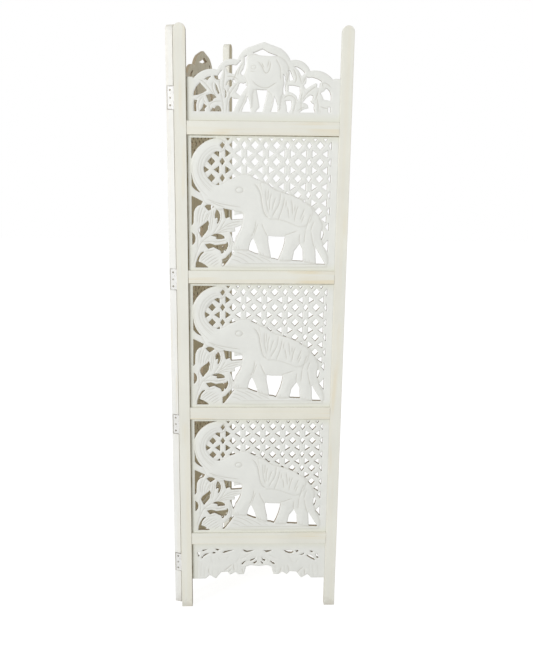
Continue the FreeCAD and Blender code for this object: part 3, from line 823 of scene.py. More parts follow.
def drawn_triangles(points, edges, accuracy):
    """Triangles over points that keep the edges: places, triangles and the number of each point's place."""
    found = delaunay_2d_cdt([Vector(p) for p in points], edges, [], 0, accuracy, True)
    places = np.array([tuple(p) for p in found[0]])
    numbers = {point: number for number, given in enumerate(found[3]) for point in given}
    return places, [list(t) for t in found[2]], numbers


def board_loops(outline, gaps, punches=(), zone=(), least_area=0.0):
    """Closed loops round the wood that is left when gaps, and punches in a zone, are sawn out of an outline.

    Where a punched hole is smaller than the least area, its wood stays."""
    loops = [loop for loop in (outline, zone, *gaps, *punches) if len(loop)]
    places, triangles, _ = drawn_triangles(*joined_loops(loops), 1e-4)
    corners = places[np.array(triangles)]
    middles = corners.mean(1)
    turns = doubled_areas(corners)
    wood = within(middles, outline)
    for gap in gaps:
        wood &= ~within(middles, gap)
    punched = np.zeros(len(middles), bool)
    for punch in punches:
        punched |= within(middles, punch)
    punched &= within(middles, zone) & wood
    solid = list(np.flatnonzero(wood & ~punched))
    loose = list(np.flatnonzero(punched))
    sharing = {}
    for number in loose:
        for side in sides(triangles[number]):
            sharing.setdefault(frozenset(side), []).append(number)
    seen = set()
    for number in loose:
        if number in seen:
            continue
        hole, queue = [], [number]
        seen.add(number)
        while queue:
            here = queue.pop()
            hole.append(here)
            for other in {n for side in sides(triangles[here]) for n in sharing[frozenset(side)]} - seen:
                seen.add(other)
                queue.append(other)
        if np.abs(turns[hole]).sum() / 2 < least_area:
            solid += hole
    following = {}
    for number in solid:
        face = triangles[number] if turns[number] >= 0 else triangles[number][::-1]
        for a, b in sides(face):
            following.setdefault(a, []).append(b)
    rim = {a: [b for b in ends if a not in following.get(b, ())] for a, ends in following.items()}
    loops = []
    while any(rim.values()):
        start = next(a for a, ends in rim.items() if ends)
        loop, here = [start], rim[start].pop()
        while here != start:
            loop.append(here)
            here = rim[here].pop()
        loops.append([tuple(places[v]) for v in loop])
    return loops


def triangles_within(points, edges, rims, least_sliver=5e-4):
    """Triangles between the rims over the points, without the slivers along a straight rim."""
    places, triangles, numbers = drawn_triangles(points, edges, 1e-5)
    corners = places[np.array(triangles)]
    area = np.abs(doubled_areas(corners)) / 2
    keep = between(corners.mean(1), rims) & (area > least_sliver)
    return places, [t for t, kept in zip(triangles, keep) if kept], numbers


def sideways(track, closed):
    """Unit vectors to the left of a line, one at each of its points."""
    if closed:
        tangent = np.roll(track, -1, axis=0) - np.roll(track, 1, axis=0)
    else:
        tangent = np.gradient(track, axis=0)
    tangent /= np.maximum(np.linalg.norm(tangent, axis=1), 1e-9)[:, None]
    return np.stack([-tangent[:, 1], tangent[:, 0]], axis=1)


def thinned(groups, rims, cell=2.5):
    """Places of the groups that keep off the rims and keep apart.

    Each group is its places, how far they keep off the rims and how far apart they keep."""
    kept, cells = [], {}
    for group, off_rims, apart_by in groups:
        group = np.vstack(group)
        for x, z in group[(near_rims(group, rims) > off_rims) & between(group, rims)]:
            x, z = float(x), float(z)
            column, row = int(x // cell), int(z // cell)
            near = (q for i in (-1, 0, 1) for j in (-1, 0, 1) for q in cells.get((column + i, row + j), ()))
            if not any((other[0] - x)**2 + (other[1] - z)**2 < apart_by * apart_by for other in near):
                kept.append((x, z))
                cells.setdefault((column, row), []).append((x, z))
    return kept


def front_places(rims, lines, step, rim_width, rim_share=0.45, line_step=2.6, row_share=0.866):
    """Places for the front's triangles: along the rims' shoulders and the carved lines, and in rows between.

    rim_share is where a shoulder bends, and row_share the rise from one row to the next, of a step."""
    corners = np.vstack(rims)
    low, high = corners.min(0), corners.max(0)
    shoulders = [ring + sideways(ring, True) * rim_width * share
                 for ring in map(np.array, rims) for share in (1, rim_share)]
    marks = []
    for line, closed, offsets in lines:
        track = np.array(stepped(line, line_step, closed))
        marks += [track + sideways(track, closed) * offset for offset in offsets]
    rows = []
    for number, z in enumerate(np.arange(low[1] + step / 2, high[1], step * row_share)):
        x = np.arange(low[0] + step * (0.25 + 0.5 * (number % 2)), high[0], step)
        rows.append(np.stack([x, np.full(len(x), z)], axis=1))
    return thinned(((shoulders, 0.42 * rim_width, 0.55), (marks, 0.9 * rim_width, 0.7),
                    (rows, 1.5 * rim_width, 0.55 * step)), rims)


def carved_mesh(name, loops, relief, lines, rails, step, corner_cut, rim_width, rim_drop, rim_step=3.4):
    """Pierced board in millimetres, x across and z up, its carved front towards -Y at y = 0.

    relief gives the height of the front and how hollow it is at each place; lines are where the carving
    bends; rails holds the height of each rail's edge and how far short of it the joint's shadow falls.
    The front drops towards each rim by rim_drop, over rim_width."""
    rims = [stepped(softened(loop, corner_cut), rim_step, True) for loop in loops]
    points, edges = joined_loops(rims)
    extra = front_places(rims, lines, step, rim_width)
    flat, front, found = triangles_within(points + extra, edges, rims)
    back_flat, back, back_found = triangles_within(points, edges, rims)
    height, hollow = relief(flat)
    height = height - rim_drop * (1 - eased(near_rims(flat, rims) / rim_width))
    base = len(flat)
    verts = [(x, -h, z) for (x, z), h in zip(flat, height)]
    verts += [(x, board_thickness, z) for x, z in back_flat]
    walls = [[found[b], found[a], base + back_found[a], base + back_found[b]] for a, b in edges]
    back = [[base + v for v in reversed(t)] for t in back]
    work = bmesh.new()
    hollow_layer = work.verts.layers.float.new("hollow")
    depth_layer = work.verts.layers.float.new("depth")
    frame_layer = work.verts.layers.float_vector.new("to_frame")
    made = [work.verts.new((x / 1000, y / 1000, z / 1000)) for x, y, z in verts]
    for number, vert in enumerate(made):
        in_front = number < base
        vert[hollow_layer] = float(hollow[number]) if in_front else 0.0
        vert[depth_layer] = 0.0 if in_front else 1.0
        x, _, z = verts[number]
        to_rail = min(abs(z - edge) + slack for edge, slack in rails)
        vert[frame_layer] = (x, bay_width - x, to_rail) if in_front else (bay_width,) * 3
    for kind, faces in enumerate((front, walls, back)):
        for face in faces:
            drawn = work.faces.new([made[v] for v in face])
            drawn.material_index = kind
            drawn.smooth = True
    for loose in [v for v in work.verts if not v.link_faces]:
        work.verts.remove(loose)
    work.normal_update()
    for edge in work.edges:
        carved = all(face.material_index == 0 for face in edge.link_faces)
        edge.smooth = carved or edge.calc_face_angle(0.0) < sharp_corner
    mesh = bpy.data.meshes.new(name)
    work.to_mesh(mesh)
    work.free()
    return mesh


def raised(places, loop, height, ramp, crown=0.0, crown_width=1.0):
    """Height of a form that stands up from the board: a step at its outline, then a rounded crown."""
    inner = signed(places, loop)
    return height * eased((inner + ramp / 2) / ramp) + crown * eased(inner / crown_width)


def grooved(places, line, closed, half_width, depth, fade=7.0, end_share=0.35):
    """Depth of a carved line with sloping sides, shallower towards its ends."""
    cut = depth * peaked(distance(places, line, closed), half_width)
    for end in () if closed else (line[0], line[-1]):
        away = np.linalg.norm(places - np.array(end), axis=1)
        cut *= end_share + (1 - end_share) * eased(away / fade)
    return cut


def deepest(places, cuts):
    """Depth of the carving at each place; each cut is a line, whether it closes, its half width and depth."""
    return np.max([grooved(places, *cut) for cut in cuts], axis=0)


def foot_shade(places, loops, strength=0.55, off=0.9, half_width=1.6):
    """Painted shade along the foot of each form that stands up."""
    return strength * np.max([peaked(signed(places, loop) + off, half_width) for loop in loops], axis=0)


def oval(centre_x, centre_z, wide, tall, count=28):
    """Closed oval line."""
    angles = [math.tau * k / count for k in range(count)]
    return [(centre_x + wide * math.cos(angle), centre_z + tall * math.sin(angle)) for angle in angles]


def in_bay(x_share, z_share):
    """Place in a bay, from its lower left corner."""
    return x_share * bay_width, z_share * bay_height


def carved_lines(line_shares, place):
    """Smooth open lines through places given as shares."""
    return [smooth_line([place(*p) for p in line], False) for line in line_shares]


lattice_values = dict(lattice_sizes, Columns=math.ceil(bay_width / lattice_sizes["Pitch"]) + 1,
                      Rows=math.ceil(bay_height / lattice_sizes["Rise"]), Top=bay_height)
punch_mesh = grown_mesh("lattice_punches", lattice_tree(), lattice_values)
punches = [[tuple(punch_mesh.vertices[v].co[:2]) for v in face.vertices] for face in punch_mesh.polygons]
bpy.data.meshes.remove(punch_mesh)

board_right, board_top = bay_width + board_tongue, bay_height + board_tongue
board_outline = [(-board_tongue, -board_tongue), (board_right, -board_tongue), (board_right, board_top),
                 (-board_tongue, board_top)]
bay_zone = outline_points(lattice_zone_shares, in_bay)
bay_gaps = [softened(outline_points(gap, in_bay), 1.2) for gap in elephant_gap_shares]
bay_loops = board_loops(board_outline, bay_gaps, punches, bay_zone, least_hole)
elephant = smooth_line(outline_points(elephant_shares, in_bay), True, 1)
ear_line = smooth_line([in_bay(*p) for p in ear_line_shares], False)
blanket = smooth_line(outline_points(blanket_shares, in_bay), True)
mound = smooth_line(outline_points(mound_shares, in_bay), True, 1)
eye_middle = in_bay(0.347, 0.604)
eye_line = oval(*eye_middle, 10.5, 8.0)
line_cuts = [(line, False, half, depth)
             for shares, half, depth in ((pleat_shares, 2.0, 0.9), (crease_shares, 1.9, 0.8),
                                         (leaf_vein_shares, 1.8, 0.8), (mound_vein_shares, 2.2, 0.6),
                                         (trunk_line_shares, 1.8, 0.4))
             for line in carved_lines(shares, in_bay)]
bay_cuts = [(ear_line, False, 2.0, 1.3), *line_cuts, (eye_line, True, 1.3, 0.8)]


def elephant_relief(places):
    """Height of the carved front and how hollow it is: elephant, ear and cloth stand up; lines are cut in."""
    body = raised(places, elephant, height=0.9, ramp=1.6, crown=1.7, crown_width=26.0)
    cloth = raised(places, blanket, height=0.4, ramp=2.0)
    ground = raised(places, mound, height=0.5, ramp=1.6, crown=0.8, crown_width=12.0)
    ear_half = 4.5
    ear_roll = 0.5 * peaked(distance(places, ear_line, False) - ear_half, ear_half)
    pupil = 1.1 * peaked(np.linalg.norm(places - np.array(eye_middle), axis=1), 4.5)
    cuts = deepest(places, bay_cuts)
    hollow = np.maximum(np.clip(cuts / 0.8, 0, 1), foot_shade(places, (elephant, blanket, mound)))
    return body + cloth + ground + ear_roll + pupil - cuts, hollow


bend_lines = [(elephant, True, (-0.8, 0.8)), (ear_line, False, (0.0, -2.0, 2.0)),
              (blanket, True, (-0.7, 0.7)), (mound, True, (-0.8, 0.8))]
bend_lines += [(line, closed, (0.0, -half, half)) for line, closed, half, _ in line_cuts]
bend_lines.append((eye_line, True, (-1.2, 0.0, 1.2)))
bay_rails = ((0.0, 2.4), (bay_height, 0.0))
board_mesh = carved_mesh("elephant_board", bay_loops, elephant_relief, bend_lines, bay_rails,
                         step=4.2, corner_cut=0.5, rim_width=1.5, rim_drop=0.9)


def make_shadow_line_group():
    """Painted shadow line in the joint round a board: wide at the left post and the rails, thin at the right
    post.

    Place holds the distances from the left post, the right post and the nearest rail, in millimetres; Frame
    Shade is a soft painted shade near the left post and the rails."""
    tree, enter, leave = new_group("joint_shadow", {"Place": "Vector", "Vector": "Vector"}, {
        "Mask": "Float", "Frame Shade": "Float"})
    parts = apart(tree, enter["Place"])
    left = spread(tree, parts["X"], 1.9, 3.3, 1.0, 0.0)
    right = spread(tree, parts["Y"], 0.4, 1.4, 0.15, 0.0)
    rail = spread(tree, parts["Z"], 2.2, 3.6, 0.95, 0.0)
    near_frame = calculate(tree, "MINIMUM", parts["X"], parts["Z"])
    widest = calculate(tree, "MAXIMUM", calculate(tree, "MAXIMUM", left, right), rail)
    broken = spread(tree, noise(tree, enter["Vector"], 22.0, 4.0, 0.6), 0.36, 0.62, 0.55, 1.0)
    fill_inputs(tree, leave, {"Mask": calculate(tree, "MULTIPLY", widest, broken),
                              "Frame Shade": spread(tree, near_frame, 2.0, 26.0, 0.5, 0.0)})
    return tree


def make_paint_group():
    """Thick matt paint: clouded white, with painted shade, grey-brown, in the hollows of the carving."""
    tree, enter, leave = new_group("board_paint", {
        "Vector": "Vector", "Paint": "Color", "Shade": "Color", "Hollow": 0.0, "Hollow Amount": 0.5,
        "Streak Amount": 0.0}, {"Color": "Color", "Roughness": "Float", "Height": "Float"})
    vector = enter["Vector"]
    cloud = noise(tree, vector, 9.0, 3.0)
    mottle = noise(tree, vector, 46.0, 4.0, 0.6)
    skin = noise(tree, vector, 520.0, 2.0)
    brushed = noise(tree, stretched(tree, vector, (260, 260, 24)), 1.0, 3.0, 0.6)
    # painted shade in the hollows, broken up by mottle
    hollow_shade = calculate(tree, "MULTIPLY", enter["Hollow"], spread(tree, mottle, 0.3, 0.6, 0.55, 1.0))
    hollow_shade = calculate(tree, "MULTIPLY", hollow_shade, enter["Hollow Amount"])
    color = blend_color(tree, hollow_shade, enter["Paint"], enter["Shade"])
    tone = calculate(tree, "ADD", spread(tree, cloud, 0.3, 0.7, 0.975, 1.015),
                     spread(tree, mottle, 0.3, 0.7, -0.012, 0.012))
    streaks = calculate(tree, "MULTIPLY", spread(tree, brushed, 0.3, 0.7, -1.0, 1.0), enter["Streak Amount"])
    strokes = calculate(tree, "MULTIPLY", brushed, 0.6)
    fill_inputs(tree, leave, {
        "Color": toned(tree, color, calculate(tree, "ADD", tone, streaks)),
        "Roughness": spread(tree, mottle, 0.35, 0.65, 0.50, 0.64),
        "Height": calculate(tree, "ADD", strokes, calculate(tree, "MULTIPLY", skin, 0.4))})
    return tree


shadow_line_group = make_shadow_line_group()
paint_group = make_paint_group()


def paint_material(name, paint, hollow_amount, streak_amount=0.0):
    """Board paint with a fine brushed skin."""
    material, tree, surface, here = new_material(name)
    coat = place_group(tree, paint_group, vector=here, paint=(*paint, 1), shade=(*carved_shade, 1),
                       hollow=carried(tree, "hollow")["Fac"], hollow_amount=hollow_amount,
                       streak_amount=streak_amount)
    joint = place_group(tree, shadow_line_group, place=carried(tree, "to_frame")["Vector"], vector=here)
    # broad, soft painted shade on the board near the left post and the rails
    color = blend_color(tree, joint["Frame Shade"], coat["Color"], frame_shade_tint)
    # painted shadow in the joint round the board, widest by the left post and under the rails
    color = blend_color(tree, joint["Mask"], color, painted_joint_shadow)
    fill_inputs(tree, surface, {"Base Color": color, "Roughness": coat["Roughness"],
                                "Normal": fine_relief(tree, coat["Height"], 0.22, 0.0004)})
    return material


def sawn_material(name):
    """Walls of the openings: bare brown board with paint that has run in from the front."""
    material, tree, surface, here = new_material(name)
    fibre = noise(tree, here, 260.0, 4.0, 0.65)
    run = spread(tree, noise(tree, here, 60.0, 3.0), 0.3, 0.7, -0.18, 0.18)
    inward = calculate(tree, "ADD", carried(tree, "depth")["Fac"], run)
    pale_brown = tuple(part * more for part, more in zip(sawn_brown, (1.5, 1.5, 1.55)))
    brown = blend_color(tree, spread(tree, fibre, 0.3, 0.7), sawn_brown, pale_brown)
    color = blend_color(tree, spread(tree, inward, -0.06, 0.22), board_paint, brown)
    fill_inputs(tree, surface, {"Base Color": color, "Roughness": 0.85,
                                "Normal": fine_relief(tree, fibre, 0.4, 0.0005)})
    return material


carved_paint = paint_material("carved_board_paint", board_paint, 0.55)
sawn_walls = sawn_material("sawn_board_walls")
back_wash_coat = paint_material("board_back_wash", back_wash, 0.0, back_streaks)


def set_board(mesh, leaf, height, name, node, back_coat):
    """Copy of a carved board in its leaf's grooves; height is that of the rail's edge it is drawn from."""
    own = mesh.copy()
    own.transform(leaf_places[leaf] @ Matrix.Translation((board_left, board_front, height)))
    own.name = name
    own.materials.append(carved_paint)
    own.materials.append(sawn_walls)
    own.materials.append(back_coat)
    piece = bpy.data.objects.new(name, own)
    bpy.context.collection.objects.link(piece)
    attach(piece, f"{leaf}_leaf")
    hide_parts(node)


for leaf in leaves:
    for place, bottom in bay_bottoms.items():
        set_board(board_mesh, leaf, bottom, f"{leaf}_{place}_elephant_board", f"{leaf}_{place}_board",
                  back_wash_coat)


# Crest boards: a cusped arch over each top rail, of the same 11 mm board, with a small elephant seen from
# the front. Leaves and stems curl up on both sides; the tongues sit in the top rail and in both posts.
crest_height = 212.0
crest_base = 1.542
crest_back_wash = (0.67, 0.61, 0.465)
crest_shoulder_shares = (0.92, 0.555)
crest_half_shares = (
    (0.903, 0.536), (0.787, 0.631, 0.6, 0.649), (0.51, 0.757, 0.343, 0.776), (0.278, 0.875, 0.208, 0.927),
    (0.0, 1.0))
crest_gap_shares = (
    ((-0.145, 0.86), (-0.073, 0.888), (-0.014, 0.915), (0.066, 0.869), (0.182, 0.832), (0.066, 0.827),
     (-0.011, 0.829), (-0.069, 0.838), (-0.111, 0.854)),
    ((-0.247, 0.814), (-0.211, 0.833), (-0.222, 0.802), (-0.221, 0.723), (-0.23, 0.66), (-0.25, 0.601),
     (-0.27, 0.58), (-0.29, 0.597), (-0.289, 0.626), (-0.258, 0.668), (-0.244, 0.723), (-0.242, 0.786)),
    ((-0.492, 0.684), (-0.451, 0.704), (-0.397, 0.712), (-0.35, 0.708), (-0.296, 0.767), (-0.289, 0.755),
     (-0.319, 0.7), (-0.358, 0.637), (-0.381, 0.59), (-0.42, 0.605), (-0.461, 0.616), (-0.474, 0.653)),
    ((-0.639, 0.574), (-0.594, 0.571), (-0.566, 0.613), (-0.534, 0.649), (-0.532, 0.626), (-0.548, 0.579),
     (-0.569, 0.519), (-0.61, 0.524), (-0.628, 0.542)),
    ((-0.77, 0.522), (-0.728, 0.553), (-0.674, 0.569), (-0.705, 0.538), (-0.721, 0.511), (-0.744, 0.527)),
    ((-0.821, 0.484), (-0.779, 0.437), (-0.731, 0.388), (-0.782, 0.354), (-0.844, 0.33), (-0.906, 0.318),
     (-0.9, 0.365), (-0.872, 0.428)),
    ((-0.628, 0.483), (-0.606, 0.453), (-0.585, 0.401), (-0.566, 0.346), (-0.588, 0.346), (-0.613, 0.398)),
    ((-0.744, 0.327), (-0.682, 0.343), (-0.636, 0.333), (-0.606, 0.299), (-0.644, 0.283), (-0.659, 0.252),
     (-0.705, 0.236), (-0.724, 0.283)),
    ((-0.9, 0.264), (-0.856, 0.264), (-0.872, 0.204), (-0.867, 0.121), (-0.903, 0.121), (-0.904, 0.189)),
    ((-0.77, 0.225), (-0.755, 0.201), (-0.728, 0.189), (-0.764, 0.154), (-0.758, 0.121), (-0.829, 0.121),
     (-0.798, 0.157)),
    ((-0.69, 0.121), (-0.659, 0.17), (-0.634, 0.154), (-0.61, 0.193), (-0.574, 0.192), (-0.551, 0.164),
     (-0.542, 0.121)), ((-0.502, 0.417), (-0.48, 0.365), (-0.48, 0.314), (-0.498, 0.289), (-0.492, 0.346)),
    ((-0.486, 0.453), (-0.458, 0.508), (-0.423, 0.527), (-0.398, 0.497), (-0.409, 0.448), (-0.431, 0.432),
     (-0.452, 0.464)), ((-0.398, 0.531), (-0.369, 0.519), (-0.355, 0.494), (-0.389, 0.484)),
    ((-0.31, 0.484), (-0.281, 0.487), (-0.258, 0.48), (-0.225, 0.495), (-0.235, 0.465), (-0.21, 0.453),
     (-0.258, 0.385), (-0.301, 0.322), (-0.358, 0.369), (-0.327, 0.428)),
    ((-0.417, 0.31), (-0.394, 0.289), (-0.326, 0.286), (-0.35, 0.22), (-0.381, 0.157), (-0.394, 0.121),
     (-0.446, 0.121), (-0.446, 0.22), (-0.438, 0.27)),
    ((-0.204, 0.322), (-0.187, 0.275), (-0.174, 0.204), (-0.162, 0.121), (-0.282, 0.121), (-0.245, 0.217),
     (-0.221, 0.252)),
    ((-0.091, 0.406), (-0.026, 0.401), (0.051, 0.401), (0.032, 0.299), (0.012, 0.204), (-0.014, 0.121),
     (-0.103, 0.121), (-0.049, 0.181), (-0.066, 0.283)),
    ((0.147, 0.325), (0.168, 0.267), (0.188, 0.204), (0.187, 0.121), (0.1, 0.121), (0.125, 0.204)),
    ((0.255, 0.602), (0.275, 0.586), (0.287, 0.519), (0.279, 0.456), (0.282, 0.409), (0.293, 0.369),
     (0.27, 0.343), (0.256, 0.365), (0.256, 0.425), (0.272, 0.487), (0.264, 0.535)),
    ((0.321, 0.653), (0.346, 0.642), (0.367, 0.594), (0.394, 0.538), (0.36, 0.527), (0.336, 0.517),
     (0.332, 0.569), (0.338, 0.621)),
    ((0.394, 0.704), (0.44, 0.695), (0.494, 0.664), (0.534, 0.626), (0.506, 0.59), (0.485, 0.586),
     (0.452, 0.648)),
    ((0.326, 0.464), (0.383, 0.464), (0.471, 0.448), (0.477, 0.362), (0.46, 0.283), (0.448, 0.275),
     (0.427, 0.33), (0.383, 0.366), (0.326, 0.385)),
    ((0.285, 0.267), (0.363, 0.275), (0.372, 0.22), (0.36, 0.157), (0.336, 0.115), (0.31, 0.126),
     (0.302, 0.204)),
    ((0.557, 0.582), (0.576, 0.563), (0.634, 0.569), (0.702, 0.55), (0.755, 0.519), (0.733, 0.495),
     (0.735, 0.453), (0.711, 0.436), (0.69, 0.445), (0.698, 0.48), (0.676, 0.5), (0.622, 0.469),
     (0.545, 0.421), (0.522, 0.464), (0.551, 0.495)),
    ((0.818, 0.436), (0.861, 0.398), (0.881, 0.346), (0.883, 0.272), (0.823, 0.283), (0.784, 0.291),
     (0.761, 0.346), (0.742, 0.369), (0.784, 0.393)),
    ((0.511, 0.248), (0.56, 0.307), (0.619, 0.346), (0.651, 0.333), (0.642, 0.291), (0.614, 0.27),
     (0.637, 0.244), (0.667, 0.228), (0.66, 0.173), (0.679, 0.121), (0.471, 0.121), (0.526, 0.16),
     (0.591, 0.176), (0.576, 0.22), (0.545, 0.239)),
    ((0.847, 0.189), (0.875, 0.195), (0.877, 0.126), (0.85, 0.121)))
crest_elephant_shares = (
    (-0.196, 0.825), (-0.088, 0.841), (0.066, 0.836), (0.205, 0.818), (0.298, 0.739), (0.329, 0.629),
    (0.298, 0.519), (0.267, 0.409), (0.221, 0.314), (0.205, 0.121), (0.09, 0.121), (0.136, 0.33),
    (0.051, 0.401), (-0.088, 0.404), (-0.15, 0.409), (-0.157, 0.121), (-0.289, 0.121), (-0.211, 0.322),
    (-0.196, 0.472), (-0.219, 0.519), (-0.242, 0.566), (-0.211, 0.676), (-0.227, 0.755))
crest_line_shares = (
    ((-0.173, 0.634), (-0.119, 0.629)),
    ((-0.076, 0.755), (-0.034, 0.715), (-0.011, 0.668), (0.005, 0.632), (0.023, 0.613), (0.051, 0.616),
     (0.071, 0.648), (0.085, 0.7), (0.085, 0.755)),
    ((-0.15, 0.519), (-0.073, 0.443), (0.051, 0.417), (0.159, 0.495)), ((-0.026, 0.739), (0.005, 0.676)),
    ((0.066, 0.77), (0.051, 0.684)), ((0.159, 0.786), (0.221, 0.676), (0.221, 0.535)),
    ((-0.335, 0.66), (-0.397, 0.503), (-0.474, 0.362)))
crest_leaf_shares = (
    ((-0.832, 0.121), (-0.852, 0.189), (-0.813, 0.283), (-0.779, 0.311)),
    ((-0.782, 0.299), (-0.767, 0.252), (-0.744, 0.22)), ((-0.863, 0.283), (-0.821, 0.322), (-0.752, 0.346)),
    ((-0.682, 0.121), (-0.698, 0.181), (-0.69, 0.22), (-0.628, 0.252), (-0.535, 0.252)),
    ((-0.52, 0.121), (-0.523, 0.252), (-0.551, 0.362), (-0.574, 0.487), (-0.551, 0.597)),
    ((-0.644, 0.503), (-0.667, 0.456), (-0.651, 0.377), (-0.6, 0.299)),
    ((-0.481, 0.121), (-0.471, 0.22), (-0.451, 0.322), (-0.397, 0.409), (-0.335, 0.487)),
    ((-0.455, 0.393), (-0.435, 0.346), (-0.44, 0.299)),
    ((-0.505, 0.66), (-0.505, 0.566), (-0.517, 0.472), (-0.523, 0.377)),
    ((-0.471, 0.566), (-0.397, 0.566), (-0.335, 0.535)), ((-0.335, 0.582), (-0.312, 0.66), (-0.265, 0.739)),
    ((-0.829, 0.519), (-0.767, 0.495), (-0.705, 0.417), (-0.651, 0.346)),
    ((-0.319, 0.121), (-0.273, 0.22), (-0.242, 0.283), (-0.219, 0.346)),
    ((0.39, 0.121), (0.414, 0.22), (0.429, 0.283)),
    ((0.267, 0.299), (0.298, 0.33), (0.36, 0.338), (0.414, 0.299), (0.434, 0.236)),
    ((0.498, 0.121), (0.491, 0.204), (0.491, 0.299), (0.506, 0.377)),
    ((0.506, 0.283), (0.56, 0.362), (0.637, 0.425), (0.684, 0.456)),
    ((0.545, 0.189), (0.498, 0.181), (0.452, 0.142)), ((0.715, 0.409), (0.699, 0.346), (0.676, 0.283)),
    ((0.715, 0.121), (0.715, 0.22), (0.699, 0.299)), ((0.745, 0.2), (0.792, 0.181), (0.846, 0.176)),
    ((0.741, 0.157), (0.741, 0.121)), ((0.491, 0.487), (0.475, 0.55), (0.444, 0.613)),
    ((0.406, 0.495), (0.429, 0.55), (0.414, 0.613), (0.383, 0.668)),
    ((0.506, 0.487), (0.529, 0.535), (0.545, 0.574)),
    ((0.776, 0.44), (0.761, 0.503), (0.823, 0.495), (0.877, 0.44)),
    ((0.306, 0.487), (0.306, 0.566), (0.298, 0.626)))


def mirrored(half_shares):
    """Outline from the right half round to the left half of a board that is alike on both sides."""
    points = list(half_shares)
    for i in range(len(half_shares) - 1, 0, -1):
        x, z = half_shares[i - 1][-2:]
        if len(half_shares[i]) == 4:
            points.append((-half_shares[i][0], half_shares[i][1], -x, z))
        else:
            points.append((-x, z))
    return points


def on_crest(x_share, z_share):
    """Place on a crest, from the middle of its lower edge; the board's corner is the origin."""
    return bay_width / 2 * (1 + x_share), z_share * crest_height


edge_share = 1 + board_tongue / (bay_width / 2)
crest_foot = -board_tongue / crest_height
right_side = [(edge_share, crest_foot), (edge_share, crest_shoulder_shares[1]), crest_shoulder_shares]
crest_points = right_side + mirrored(crest_half_shares) + [(-x, z) for x, z in reversed(right_side)]
crest_outline = outline_points(crest_points, on_crest)
crest_gaps = [softened(outline_points(gap, on_crest), 1.6) for gap in crest_gap_shares]
crest_elephant = smooth_line(outline_points(crest_elephant_shares, on_crest), True, 1)
crest_lines = carved_lines(crest_line_shares + crest_leaf_shares, on_crest)
crest_eye = oval(*on_crest(-0.131, 0.684), 7.0, 4.6)
crest_cuts = [(crest_eye, True, 1.3, 0.6)] + [(line, False, 2.0, 0.9) for line in crest_lines]


def crest_relief(places):
    """Height and hollows of the crest: the elephant stands up, its cloth and the leaves' veins are cut in."""
    height = raised(places, crest_elephant, height=0.9, ramp=1.6, crown=1.6, crown_width=22.0)
    cuts = deepest(places, crest_cuts)
    return height - cuts, np.maximum(np.clip(cuts / 0.8, 0, 1), foot_shade(places, [crest_elephant]))


crest_bends = [(crest_elephant, True, (-0.8, 0.8)), (crest_eye, True, (-1.2, 0.0, 1.2))]
crest_bends += [(line, False, (0.0, -2.0, 2.0)) for line in crest_lines]
crest_back_coat = paint_material("crest_back_wash", crest_back_wash, 0.0, back_streaks)
crest_loops = board_loops(crest_outline, crest_gaps)
crest_mesh = carved_mesh("crest", crest_loops, crest_relief, crest_bends, ((0.0, 1.8),),
                         step=4.0, corner_cut=1.0, rim_width=2.0, rim_drop=1.1)
for leaf in leaves:
    set_board(crest_mesh, leaf, crest_base, f"{leaf}_crest", f"{leaf}_crest_board", crest_back_coat)


